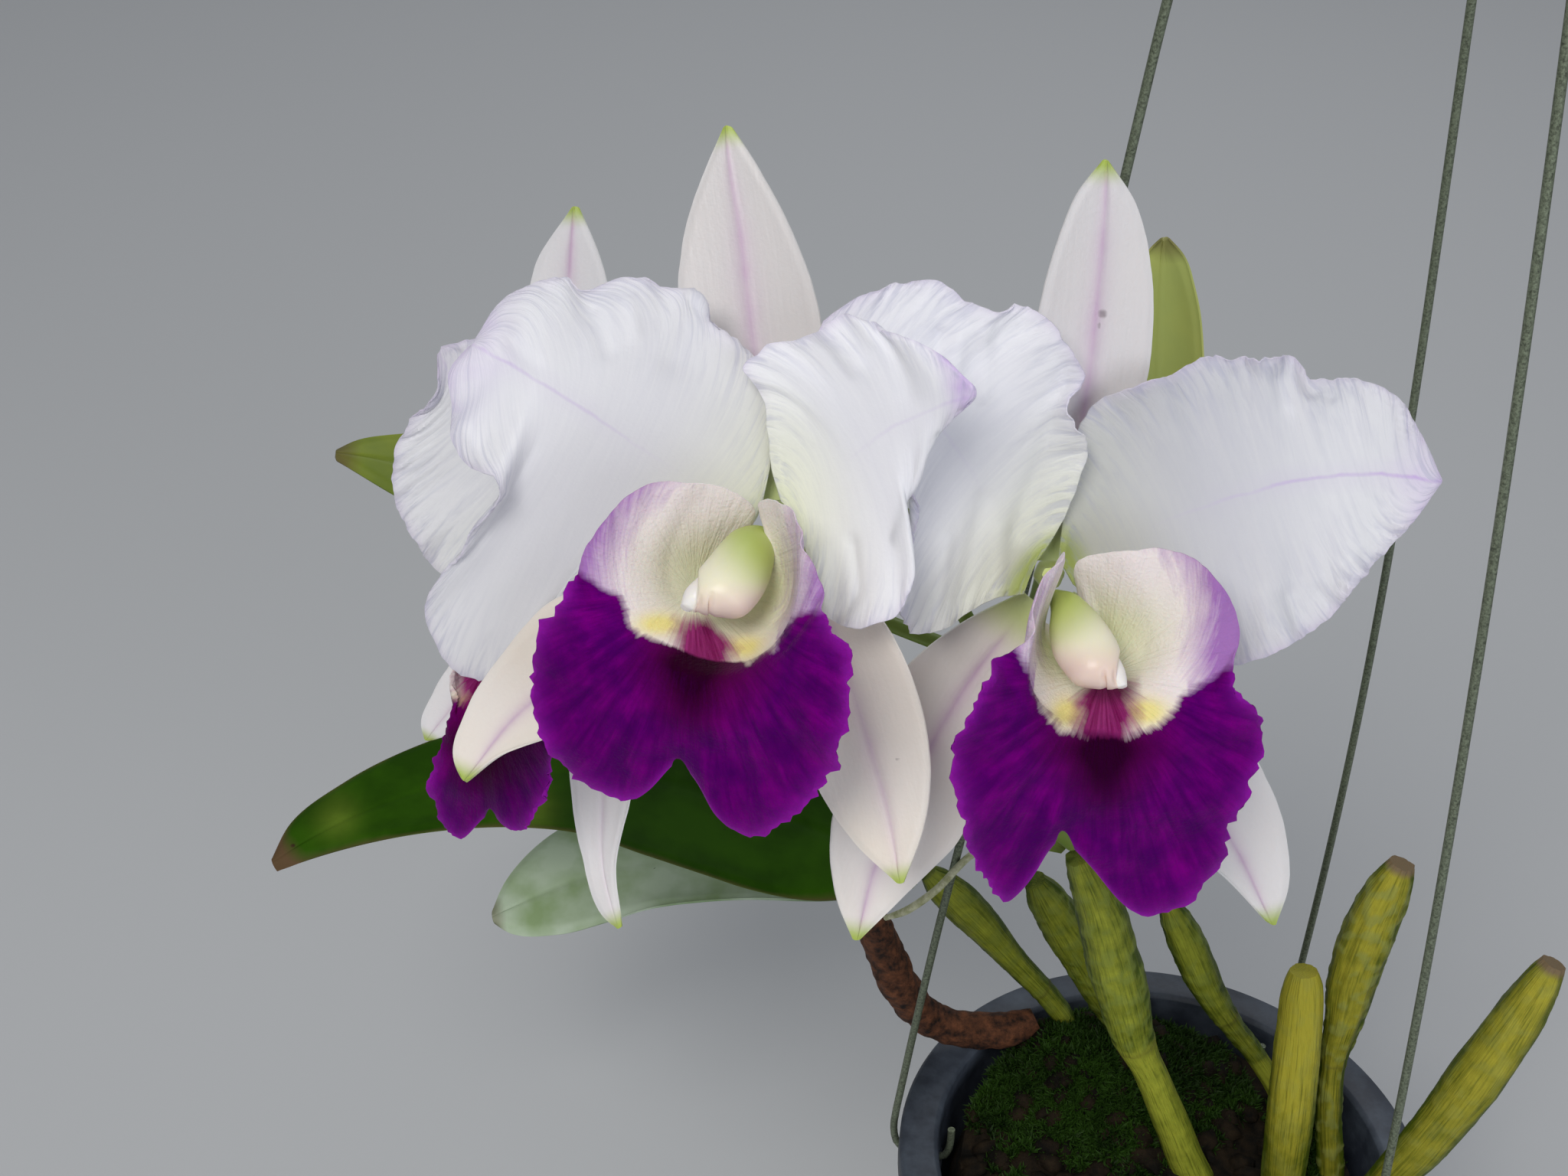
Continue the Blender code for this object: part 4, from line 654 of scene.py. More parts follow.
def lip_grid(key, bloom, rows, cols):
    stations = LIPS[key]
    curves = []
    for side in range(3):
        placed = [bloom_point(bloom, station[side], 0.0, 0.0) for station in stations]
        curves.append(spline(placed, rows, even=False))
    places = np.linspace(0, len(stations) - 1, rows)
    belly = np.interp(places, range(len(stations)), [station[3] for station in stations])
    return loft(*curves, cols, belly)


# Stalks: the spike from the front pseudobulb, and one stalk with its ovary to each bloom

FORK = (-54.0, -4.0, 150.0)
STALK_ROUTES = {
    "a": [(-58.4, -1.0, 154.0), (-66.0, 4.0, 165.0), (-73.0, 4.0, 177.0), (-83.0, 1.0, 186.0)],
    "b": [(-51.0, -3.0, 155.0), (-48.0, -4.0, 164.0), (-47.0, -6.0, 174.0)],
    "c": [(-59.0, 2.0, 147.0), (-74.0, 12.0, 146.0), (-95.0, 22.0, 149.0), (-115.0, 28.0, 154.0)],
}


# Finishes


def colour(code):
    """A hex sRGB colour as linear values."""
    channels = [int(code[i:i + 2], 16) / 255.0 for i in (1, 3, 5)]
    linear = [c / 12.92 if c <= 0.04045 else ((c + 0.055) / 1.055) ** 2.4 for c in channels]
    return (*linear, 1.0)


def add(tree, kind, inputs=None, **settings):
    """One node with its settings, and a value or a link for each input that is named."""
    node = tree.nodes.new(kind)
    for key, value in settings.items():
        setattr(node, key, value)
    for key, value in (inputs or {}).items():
        if isinstance(value, bpy.types.NodeSocket):
            tree.links.new(value, node.inputs[key])
        else:
            node.inputs[key].default_value = value
    return node


def new_finish(name, **sockets):
    """An empty Principled material, with the sockets that are the same all over it set."""
    made = bpy.data.materials.new(name)
    made.use_nodes = True
    shader = made.node_tree.nodes["Principled BSDF"]
    for key, value in sockets.items():
        shader.inputs[key.replace("_", " ")].default_value = value
    return made, made.node_tree, shader


# Inputs of a colour Mix node, and its result
FACTOR, UNDER, OVER, MIXED = 0, 6, 7, 2


def crossed(tree, attributes, stretch):
    """Three of a piece's values as one place, each drawn out by its own amount."""
    parts = {}
    for axis, attribute, amount in zip("XYZ", attributes, stretch):
        value = add(tree, "ShaderNodeAttribute", attribute_name=attribute).outputs["Fac"]
        parts[axis] = add(tree, "ShaderNodeMath", {0: value, 1: amount}, operation="MULTIPLY").outputs[0]
    return add(tree, "ShaderNodeCombineXYZ", parts).outputs[0]


def petal_tissue():
    """Petal: clear waxy cells over white. It glows, and is crinkled like crepe at its margin."""
    made, tree, shader = new_finish(
        "petal_tissue", Roughness=0.6, Specular_IOR_Level=0.3, Sheen_Weight=0.2, Sheen_Roughness=0.4,
        Subsurface_Weight=0.4, Subsurface_Scale=0.003)
    shader.inputs["Subsurface Radius"].default_value = (1.0, 0.95, 1.0)
    place = add(tree, "ShaderNodeTexCoord").outputs["Object"]
    field = {key: add(tree, "ShaderNodeAttribute", attribute_name=key).outputs["Fac"]
             for key in ("cream", "flush", "rib", "near", "aside", "foot", "dull")}
    # Lumps 6 mm across break up the flush.
    cloud = add(tree, "ShaderNodeTexNoise", {"Vector": place, "Scale": 170.0, "Detail": 3.0})
    # Streaks 1 mm wide and 8 mm long run out to the margin.
    out = crossed(tree, ("run", "margin", "across"), (1.0, 0.12, 2.0))
    streak = add(tree, "ShaderNodeTexNoise", {"Vector": out, "Scale": 0.62, "Detail": 3.0, "Roughness": 0.55,
                                              "Distortion": 0.6})
    # Cells of 0.6 mm, drawn coarser than the real ones so that they show.
    cells = add(tree, "ShaderNodeTexNoise", {"Vector": place, "Scale": 1500.0, "Detail": 2.0})
    level = add(tree, "ShaderNodeMath", {0: streak.outputs["Fac"], 1: 0.5}, operation="SUBTRACT")
    shown = add(tree, "ShaderNodeMath", {0: field["near"], 1: 1.25, 2: 0.05}, operation="MULTIPLY_ADD")
    fold = add(tree, "ShaderNodeMath", {0: level.outputs[0], 1: shown.outputs[0]}, operation="MULTIPLY")
    height = add(tree, "ShaderNodeMath", {0: cells.outputs["Fac"], 1: 0.1, 2: fold.outputs[0]},
                 operation="MULTIPLY_ADD")
    bump = add(tree, "ShaderNodeBump", {"Strength": 0.5, "Distance": 0.0008, "Height": height.outputs[0]})
    cream = add(tree, "ShaderNodeMix", {FACTOR: field["cream"], UNDER: colour("#F1F1F9"),
                                        OVER: colour("#E9EBD6")}, data_type="RGBA")
    # Painted shade: the dull value mixes grey into the white
    painted_shade_mix = add(tree, "ShaderNodeMix", {FACTOR: field["dull"], UNDER: cream.outputs[MIXED],
                                         OVER: colour("#A4A5A9")}, data_type="RGBA")
    green = add(tree, "ShaderNodeMix", {FACTOR: field["foot"], UNDER: painted_shade_mix.outputs[MIXED],
                                        OVER: colour("#A3B43C")}, data_type="RGBA")
    patchy = add(tree, "ShaderNodeMapRange", {"Value": cloud.outputs["Fac"], "From Min": 0.3,
                                              "From Max": 0.7, "To Min": 0.5, "To Max": 1.2})
    # The midrib is a lavender line 0.5 mm wide that wanders by its own width.
    wander = add(tree, "ShaderNodeMath", {0: cloud.outputs["Fac"], 1: 1.6, 2: -0.8}, operation="MULTIPLY_ADD")
    off = add(tree, "ShaderNodeMath", {0: field["aside"], 1: wander.outputs[0]}, operation="ADD")
    far = add(tree, "ShaderNodeMath", {0: off.outputs[0]}, operation="ABSOLUTE")
    line = add(tree, "ShaderNodeMapRange", {"Value": far.outputs[0], "From Min": 0.1, "From Max": 0.55,
                                            "To Min": 0.5, "To Max": 0.0})
    glow = add(tree, "ShaderNodeMapRange", {"Value": far.outputs[0], "From Min": 0.0, "From Max": 4.0,
                                            "To Min": 0.16, "To Max": 0.0})
    both = add(tree, "ShaderNodeMath", {0: line.outputs[0], 1: glow.outputs[0]}, operation="ADD")
    ribbed = add(tree, "ShaderNodeMath", {0: both.outputs[0], 1: field["rib"], 2: field["flush"]},
                 operation="MULTIPLY_ADD")
    amount = add(tree, "ShaderNodeMath", {0: ribbed.outputs[0], 1: patchy.outputs[0]},
                 operation="MULTIPLY", use_clamp=True)
    flushed = add(tree, "ShaderNodeMix", {FACTOR: amount.outputs[0], UNDER: green.outputs[MIXED],
                                          OVER: colour("#C6A6E6")}, data_type="RGBA")
    # Painted shade: the grooves of the crepe streaks are painted a darker blue-grey
    crease_shade = add(tree, "ShaderNodeMapRange", {"Value": fold.outputs[0], "From Min": -0.12, "From Max": 0.02,
                                           "To Min": 0.4, "To Max": 0.0})
    streak_marked = add(tree, "ShaderNodeMix", {FACTOR: crease_shade.outputs[0], UNDER: flushed.outputs[MIXED],
                                         OVER: colour("#A9ABC6")}, data_type="RGBA")
    tree.links.new(streak_marked.outputs[MIXED], shader.inputs["Base Color"])
    tree.links.new(bump.outputs[0], shader.inputs["Normal"])
    return made


def sepal_tissue():
    """Sepal: thicker and waxier than a petal, with a pink midline and a green tip."""
    made, tree, shader = new_finish(
        "sepal_tissue", Roughness=0.45, IOR=1.45, Sheen_Weight=0.15, Sheen_Roughness=0.5,
        Subsurface_Weight=0.3, Subsurface_Scale=0.002)
    shader.inputs["Subsurface Radius"].default_value = (1.0, 0.85, 0.8)
    place = add(tree, "ShaderNodeTexCoord").outputs["Object"]
    field = {key: add(tree, "ShaderNodeAttribute", attribute_name=key).outputs["Fac"]
             for key in ("blush", "line", "green", "spot", "dull")}
    cloud = add(tree, "ShaderNodeTexNoise", {"Vector": place, "Scale": 130.0, "Detail": 4.0})
    cells = add(tree, "ShaderNodeTexNoise", {"Vector": place, "Scale": 1300.0, "Detail": 2.0})
    # Faint lengthwise veins 1.5 mm apart.
    out = crossed(tree, ("aside", "run", "along"), (1.0, 0.06, 0.0))
    vein = add(tree, "ShaderNodeTexNoise", {"Vector": out, "Scale": 0.7, "Detail": 3.0})
    height = add(tree, "ShaderNodeMath", {0: vein.outputs["Fac"], 1: 1.6, 2: cells.outputs["Fac"]},
                 operation="MULTIPLY_ADD")
    bump = add(tree, "ShaderNodeBump", {"Strength": 0.3, "Distance": 0.0002, "Height": height.outputs[0]})
    blush = add(tree, "ShaderNodeMix", {FACTOR: field["blush"], UNDER: colour("#EDECF2"),
                                        OVER: colour("#EFE2D2")}, data_type="RGBA")
    uneven = add(tree, "ShaderNodeMapRange", {"Value": cloud.outputs["Fac"], "From Min": 0.3,
                                              "From Max": 0.7, "To Min": 0.6, "To Max": 1.15})
    amount = add(tree, "ShaderNodeMath", {0: field["line"], 1: uneven.outputs[0]},
                 operation="MULTIPLY", use_clamp=True)
    # Painted shade: the dull value mixes grey into the colour
    painted_shade_mix = add(tree, "ShaderNodeMix", {FACTOR: field["dull"], UNDER: blush.outputs[MIXED],
                                         OVER: colour("#9C9896")}, data_type="RGBA")
    lined = add(tree, "ShaderNodeMix", {FACTOR: amount.outputs[0], UNDER: painted_shade_mix.outputs[MIXED],
                                        OVER: colour("#C8A8C8")}, data_type="RGBA")
    tipped = add(tree, "ShaderNodeMix", {FACTOR: field["green"], UNDER: lined.outputs[MIXED],
                                         OVER: colour("#A9BE4E")}, data_type="RGBA")
    bruise = add(tree, "ShaderNodeMapRange", {"Value": field["spot"], "From Min": 0.35, "From Max": 1.3,
                                              "To Min": 0.8, "To Max": 0.0})
    marked = add(tree, "ShaderNodeMix", {FACTOR: bruise.outputs[0], UNDER: tipped.outputs[MIXED],
                                         OVER: colour("#5E4E52")}, data_type="RGBA")
    tree.links.new(marked.outputs[MIXED], shader.inputs["Base Color"])
    tree.links.new(bump.outputs[0], shader.inputs["Normal"])
    return made


def lip_tissue():
    """Lip: velvet purple cells on the front lobe, waxy cream in the tube."""
    made, tree, shader = new_finish(
        "lip_tissue", Roughness=0.5, Specular_IOR_Level=0.16, Subsurface_Weight=0.1,
        Subsurface_Scale=0.001)
    shader.inputs["Specular Tint"].default_value = colour("#A020FF")
    place = add(tree, "ShaderNodeTexCoord").outputs["Object"]
    field = {key: add(tree, "ShaderNodeAttribute", attribute_name=key).outputs["Fac"]
             for key in ("limb", "band", "throat", "yellow", "heart", "dark", "pale", "margin")}
    cloud = add(tree, "ShaderNodeTexNoise", {"Vector": place, "Scale": 240.0, "Detail": 5.0})
    # Streaks 1 mm wide run out from the throat. They feather each colour's edge.
    spokes = crossed(tree, ("spoke_x", "spoke_y", "reach"), (1.0, 1.0, 0.07))
    streak = add(tree, "ShaderNodeTexNoise", {"Vector": spokes, "Scale": 1.1, "Detail": 4.0,
                                              "Roughness": 0.6, "Distortion": 0.3})
    both = add(tree, "ShaderNodeMath", {0: streak.outputs["Fac"], 1: cloud.outputs["Fac"]}, operation="ADD")
    feather = add(tree, "ShaderNodeMath", {0: both.outputs[0], 1: 1.0}, operation="SUBTRACT").outputs[0]
    # The short streaks of the side lobes run in from their margins instead.
    inward = crossed(tree, ("run", "margin", "across"), (1.0, 0.18, 2.0))
    short = add(tree, "ShaderNodeTexNoise", {"Vector": inward, "Scale": 0.9, "Detail": 4.0, "Roughness": 0.6,
                                             "Distortion": 0.3})
    tube = add(tree, "ShaderNodeMix", {FACTOR: field["throat"], UNDER: colour("#EFE6E4"),
                                       OVER: colour("#D5DCA6")}, data_type="RGBA")
    ragged = add(tree, "ShaderNodeMath", {0: short.outputs["Fac"], 1: 7.0, 2: field["band"]},
                 operation="MULTIPLY_ADD")
    banded = add(tree, "ShaderNodeMapRange", {"Value": ragged.outputs[0], "From Min": 2.0,
                                              "From Max": 9.5, "To Max": 0.9})
    lilac = add(tree, "ShaderNodeMix", {FACTOR: banded.outputs[0], UNDER: tube.outputs[MIXED],
                                        OVER: colour("#9A5EB2")}, data_type="RGBA")
    yellow = add(tree, "ShaderNodeMix", {FACTOR: field["yellow"], UNDER: lilac.outputs[MIXED],
                                         OVER: colour("#F2E596")}, data_type="RGBA")
    torn = add(tree, "ShaderNodeMath", {0: feather, 1: 3.5, 2: field["heart"]}, operation="MULTIPLY_ADD")
    hearted = add(tree, "ShaderNodeMapRange", {"Value": torn.outputs[0], "From Min": -2.0, "From Max": 1.8})
    streak_marked = add(tree, "ShaderNodeMapRange", {"Value": streak.outputs["Fac"], "From Min": 0.35,
                                              "From Max": 0.7})
    crimson = add(tree, "ShaderNodeMix", {FACTOR: streak_marked.outputs[0], UNDER: colour("#74124E"),
                                          OVER: colour("#A0387C")}, data_type="RGBA")
    heart = add(tree, "ShaderNodeMix", {FACTOR: hearted.outputs[0], UNDER: yellow.outputs[MIXED],
                                        OVER: crimson.outputs[MIXED]}, data_type="RGBA")
    deep = add(tree, "ShaderNodeMapRange", {"Value": cloud.outputs["Fac"], "From Min": 0.35,
                                            "From Max": 0.7})
    body = add(tree, "ShaderNodeMix", {FACTOR: deep.outputs[0], UNDER: colour("#540062"),
                                       OVER: colour("#740076")}, data_type="RGBA")
    lined = add(tree, "ShaderNodeMapRange", {"Value": streak.outputs["Fac"], "From Min": 0.35,
                                             "From Max": 0.62, "To Min": 0.75, "To Max": 0.0})
    streaked = add(tree, "ShaderNodeMix", {FACTOR: lined.outputs[0], UNDER: body.outputs[MIXED],
                                           OVER: colour("#3C0050")}, data_type="RGBA")
    pale = add(tree, "ShaderNodeMix", {FACTOR: field["pale"], UNDER: streaked.outputs[MIXED],
                                       OVER: colour("#8C1C9C")}, data_type="RGBA")
    # Near the crimson the purple is redder, and its centre is nearly black.
    near = add(tree, "ShaderNodeMapRange", {"Value": field["heart"], "From Min": -10.0, "From Max": 1.0,
                                            "To Max": 0.85})
    redder = add(tree, "ShaderNodeMix", {FACTOR: near.outputs[0], UNDER: pale.outputs[MIXED],
                                         OVER: colour("#66064C")}, data_type="RGBA")
    centre = add(tree, "ShaderNodeMix", {FACTOR: field["dark"], UNDER: redder.outputs[MIXED],
                                         OVER: colour("#280016")}, data_type="RGBA")
    crossing = add(tree, "ShaderNodeMath", {0: feather, 1: 2.4, 2: field["limb"]}, operation="MULTIPLY_ADD")
    front = add(tree, "ShaderNodeMapRange", {"Value": crossing.outputs[0], "From Min": -0.7,
                                             "From Max": 0.9})
    whole = add(tree, "ShaderNodeMix", {FACTOR: front.outputs[0], UNDER: heart.outputs[MIXED],
                                        OVER: centre.outputs[MIXED]}, data_type="RGBA")
    cells = add(tree, "ShaderNodeTexNoise", {"Vector": place, "Scale": 1600.0, "Detail": 2.0})
    height = add(tree, "ShaderNodeMath", {0: streak.outputs["Fac"], 1: 2.5, 2: cells.outputs["Fac"]},
                 operation="MULTIPLY_ADD")
    bump = add(tree, "ShaderNodeBump", {"Strength": 0.6, "Distance": 0.0003, "Height": height.outputs[0]})
    tree.links.new(whole.outputs[MIXED], shader.inputs["Base Color"])
    tree.links.new(bump.outputs[0], shader.inputs["Normal"])
    return made


def column_wax():
    """Column: solid waxy cream, yellow-green at its foot and faintly pink at its side."""
    made, tree, shader = new_finish(
        "column_wax", Roughness=0.36, IOR=1.45, Subsurface_Weight=0.4, Subsurface_Scale=0.003)
    shader.inputs["Subsurface Radius"].default_value = (1.0, 0.9, 0.5)
    place = add(tree, "ShaderNodeTexCoord").outputs["Object"]
    field = {key: add(tree, "ShaderNodeAttribute", attribute_name=key).outputs["Fac"]
             for key in ("green", "pink", "cap")}
    body = add(tree, "ShaderNodeMix", {FACTOR: field["green"], UNDER: colour("#F3EFD6"),
                                       OVER: colour("#B8C86A")}, data_type="RGBA")
    sided = add(tree, "ShaderNodeMix", {FACTOR: field["pink"], UNDER: body.outputs[MIXED],
                                        OVER: colour("#EAD3C8")}, data_type="RGBA")
    capped = add(tree, "ShaderNodeMix", {FACTOR: field["cap"], UNDER: sided.outputs[MIXED],
                                         OVER: colour("#F6F1EC")}, data_type="RGBA")
    cells = add(tree, "ShaderNodeTexNoise", {"Vector": place, "Scale": 900.0, "Detail": 2.0})
    bump = add(tree, "ShaderNodeBump", {"Strength": 0.2, "Distance": 0.0002, "Height": cells.outputs["Fac"]})
    tree.links.new(capped.outputs[MIXED], shader.inputs["Base Color"])
    tree.links.new(bump.outputs[0], shader.inputs["Normal"])
    return made


def leaf_cuticle(name, face, back, vein, gloss, shine=0.2):
    """Leaf: stiff and leathery under a waxy cuticle, with specks and a paler underside."""
    made, tree, shader = new_finish(name, Roughness=gloss, Specular_IOR_Level=shine)
    place = add(tree, "ShaderNodeTexCoord").outputs["Object"]
    field = {key: add(tree, "ShaderNodeAttribute", attribute_name=key).outputs["Fac"]
             for key in ("front", "brown", "light")}
    cloud = add(tree, "ShaderNodeTexNoise", {"Vector": place, "Scale": 60.0, "Detail": 4.0})
    mottle = add(tree, "ShaderNodeMapRange", {"Value": cloud.outputs["Fac"], "From Min": 0.4,
                                              "From Max": 0.62, "To Min": 0.0, "To Max": 0.8})
    side = add(tree, "ShaderNodeMix", {FACTOR: field["front"], UNDER: colour(back),
                                       OVER: colour(face)}, data_type="RGBA")
    mixed = add(tree, "ShaderNodeMix", {FACTOR: mottle.outputs[0], UNDER: side.outputs[MIXED],
                                        OVER: colour(vein)}, data_type="RGBA")
    uneven = add(tree, "ShaderNodeMath", {0: field["light"], 1: cloud.outputs["Fac"]}, operation="MULTIPLY")
    light = add(tree, "ShaderNodeMix", {FACTOR: uneven.outputs[0], UNDER: mixed.outputs[MIXED],
                                        OVER: colour("#8FA63C")}, data_type="RGBA")
    # Black specks 0.5 to 1 mm across, one or two in a square centimetre.
    dots = add(tree, "ShaderNodeTexVoronoi", {"Vector": place, "Scale": 130.0})
    dot = add(tree, "ShaderNodeMapRange", {"Value": dots.outputs["Distance"], "From Min": 0.05,
                                           "From Max": 0.09, "To Min": 1.0, "To Max": 0.0})
    few = add(tree, "ShaderNodeMath", {0: cloud.outputs["Fac"], 1: 0.56}, operation="GREATER_THAN")
    speck = add(tree, "ShaderNodeMath", {0: dot.outputs[0], 1: few.outputs[0]}, operation="MULTIPLY")
    dotted = add(tree, "ShaderNodeMix", {FACTOR: speck.outputs[0], UNDER: light.outputs[MIXED],
                                         OVER: colour("#171505")}, data_type="RGBA")
    rough_edge = add(tree, "ShaderNodeMath", {0: cloud.outputs["Fac"], 1: 0.8, 2: field["brown"]},
                     operation="MULTIPLY_ADD")
    dead = add(tree, "ShaderNodeMapRange", {"Value": rough_edge.outputs[0], "From Min": 0.6,
                                            "From Max": 1.3})
    browned = add(tree, "ShaderNodeMix", {FACTOR: dead.outputs[0], UNDER: dotted.outputs[MIXED],
                                          OVER: colour("#5E4A34")}, data_type="RGBA")
    fine = crossed(tree, ("aside", "run", "along"), (1.0, 0.05, 0.0))
    grain = add(tree, "ShaderNodeTexNoise", {"Vector": fine, "Scale": 0.6, "Detail": 4.0})
    height = add(tree, "ShaderNodeMath", {0: grain.outputs["Fac"], 1: 0.5, 2: cloud.outputs["Fac"]},
                 operation="MULTIPLY_ADD")
    bump = add(tree, "ShaderNodeBump", {"Strength": 0.18, "Distance": 0.0002, "Height": height.outputs[0]})
    tree.links.new(browned.outputs[MIXED], shader.inputs["Base Color"])
    tree.links.new(bump.outputs[0], shader.inputs["Normal"])
    return made


def bulb_skin(name, fresh, older_and_painted_light_colour, scale_colour):
    """Pseudobulb: ribbed green stem under torn scraps of grey papery sheath."""
    made, tree, shader = new_finish(name, Roughness=0.5, Specular_IOR_Level=0.16, Subsurface_Weight=0.06,
                                    Subsurface_Scale=0.002)
    place = add(tree, "ShaderNodeTexCoord").outputs["Object"]
    field = {key: add(tree, "ShaderNodeAttribute", attribute_name=key).outputs["Fac"]
             for key in ("age", "painted_light", "ring", "torn", "tip")}
    cloud = add(tree, "ShaderNodeTexNoise", {"Vector": place, "Scale": 220.0, "Detail": 6.0,
                                             "Roughness": 0.6})
    # Fibres 0.7 mm wide run the length of the stem.
    length = crossed(tree, ("turn_x", "turn_y", "length"), (1.0, 1.0, 0.05))
    fibre = add(tree, "ShaderNodeTexNoise", {"Vector": length, "Scale": 1.9, "Detail": 4.0, "Roughness": 0.6})
    both = add(tree, "ShaderNodeMath", {0: fibre.outputs["Fac"], 1: cloud.outputs["Fac"]}, operation="ADD")
    # Painted light: the side that faces the key light and the viewer is painted yellower and lighter than its sides.
    painted_light_and_age = add(tree, "ShaderNodeMath", {0: field["painted_light"], 1: 0.8, 2: field["age"]}, operation="MULTIPLY_ADD")
    age_and_painted_light = add(tree, "ShaderNodeMath", {0: both.outputs[0], 1: 1.1, 2: painted_light_and_age.outputs[0]},
               operation="MULTIPLY_ADD")
    age_and_painted_light_share = add(tree, "ShaderNodeMapRange", {"Value": age_and_painted_light.outputs[0], "From Min": 1.3, "From Max": 2.4})
    body = add(tree, "ShaderNodeMix", {FACTOR: age_and_painted_light_share.outputs[0], UNDER: colour(fresh),
                                       OVER: colour(older_and_painted_light_colour)}, data_type="RGBA")
    dark = add(tree, "ShaderNodeMapRange", {"Value": fibre.outputs["Fac"], "From Min": 0.32,
                                            "From Max": 0.47, "To Min": 0.4, "To Max": 0.0})
    lined = add(tree, "ShaderNodeMix", {FACTOR: dark.outputs[0], UNDER: body.outputs[MIXED],
                                        OVER: colour("#3E4A10")}, data_type="RGBA")
    papery = add(tree, "ShaderNodeMath", {0: field["torn"], 1: 0.5}, operation="MULTIPLY")
    sheathed = add(tree, "ShaderNodeMix", {FACTOR: papery.outputs[0], UNDER: lined.outputs[MIXED],
                                           OVER: colour(scale_colour)}, data_type="RGBA")
    ringed = add(tree, "ShaderNodeMix", {FACTOR: field["ring"], UNDER: sheathed.outputs[MIXED],
                                         OVER: colour("#4E4A22")}, data_type="RGBA")
    dried = add(tree, "ShaderNodeMath", {0: both.outputs[0], 1: 0.5, 2: field["tip"]},
                operation="MULTIPLY_ADD")
    drying = add(tree, "ShaderNodeMapRange", {"Value": dried.outputs[0], "From Min": 0.85, "From Max": 1.35})
    tipped = add(tree, "ShaderNodeMix", {FACTOR: drying.outputs[0], UNDER: ringed.outputs[MIXED],
                                         OVER: colour("#7C6A50")}, data_type="RGBA")
    height = add(tree, "ShaderNodeMath", {0: fibre.outputs["Fac"], 1: 1.5, 2: cloud.outputs["Fac"]},
                 operation="MULTIPLY_ADD")
    bump = add(tree, "ShaderNodeBump", {"Strength": 0.6, "Distance": 0.0004, "Height": height.outputs[0]})
    tree.links.new(tipped.outputs[MIXED], shader.inputs["Base Color"])
    tree.links.new(bump.outputs[0], shader.inputs["Normal"])
    return made


def root_bark(name, light, dark, size, depth):
    """Root: dry papery velamen, cracked lengthwise and stained."""
    made, tree, shader = new_finish(name, Roughness=0.82, IOR=1.4)
    place = add(tree, "ShaderNodeTexCoord").outputs["Object"]
    cloud = add(tree, "ShaderNodeTexNoise", {"Vector": place, "Scale": size, "Detail": 6.0,
                                             "Roughness": 0.65})
    tone = add(tree, "ShaderNodeMapRange", {"Value": cloud.outputs["Fac"], "From Min": 0.35,
                                            "From Max": 0.66})
    mixed = add(tree, "ShaderNodeMix", {FACTOR: tone.outputs[0], UNDER: colour(dark),
                                        OVER: colour(light)}, data_type="RGBA")
    bump = add(tree, "ShaderNodeBump", {"Strength": 0.8, "Distance": depth, "Height": cloud.outputs["Fac"]})
    tree.links.new(mixed.outputs[MIXED], shader.inputs["Base Color"])
    tree.links.new(bump.outputs[0], shader.inputs["Normal"])
    return made


def stalk_skin():
    """Flower stalk: smooth fresh green, paler and yellower towards the bloom."""
    made, tree, shader = new_finish("stalk_skin", Roughness=0.42, IOR=1.45, Subsurface_Weight=0.15,
                                    Subsurface_Scale=0.002)
    place = add(tree, "ShaderNodeTexCoord").outputs["Object"]
    far = add(tree, "ShaderNodeAttribute", attribute_name="far").outputs["Fac"]
    cloud = add(tree, "ShaderNodeTexNoise", {"Vector": place, "Scale": 260.0, "Detail": 3.0})
    mixed = add(tree, "ShaderNodeMix", {FACTOR: far, UNDER: colour("#6E8430"),
                                        OVER: colour("#C4CF7E")}, data_type="RGBA")
    bump = add(tree, "ShaderNodeBump", {"Strength": 0.3, "Distance": 0.0003, "Height": cloud.outputs["Fac"]})
    tree.links.new(mixed.outputs[MIXED], shader.inputs["Base Color"])
    tree.links.new(bump.outputs[0], shader.inputs["Normal"])
    return made


def moulded_polypropylene():
    """Pot: moulded polypropylene, dull blue-grey, chalked and scuffed by weather."""
    made, tree, shader = new_finish("moulded_polypropylene", IOR=1.49)
    place = add(tree, "ShaderNodeTexCoord").outputs["Object"]
    cloud = add(tree, "ShaderNodeTexNoise", {"Vector": place, "Scale": 70.0, "Detail": 6.0,
                                             "Roughness": 0.6})
    chalk = add(tree, "ShaderNodeMapRange", {"Value": cloud.outputs["Fac"], "From Min": 0.42,
                                             "From Max": 0.72, "To Min": 0.0, "To Max": 0.7})
    mixed = add(tree, "ShaderNodeMix", {FACTOR: chalk.outputs[0], UNDER: colour("#2A303C"),
                                        OVER: colour("#5C6674")}, data_type="RGBA")
    grain = add(tree, "ShaderNodeTexNoise", {"Vector": place, "Scale": 900.0, "Detail": 3.0})
    rough = add(tree, "ShaderNodeMapRange", {"Value": cloud.outputs["Fac"], "To Min": 0.4, "To Max": 0.75})
    bump = add(tree, "ShaderNodeBump", {"Strength": 0.3, "Distance": 0.0002, "Height": grain.outputs["Fac"]})
    tree.links.new(mixed.outputs[MIXED], shader.inputs["Base Color"])
    tree.links.new(rough.outputs[0], shader.inputs["Roughness"])
    tree.links.new(bump.outputs[0], shader.inputs["Normal"])
    return made


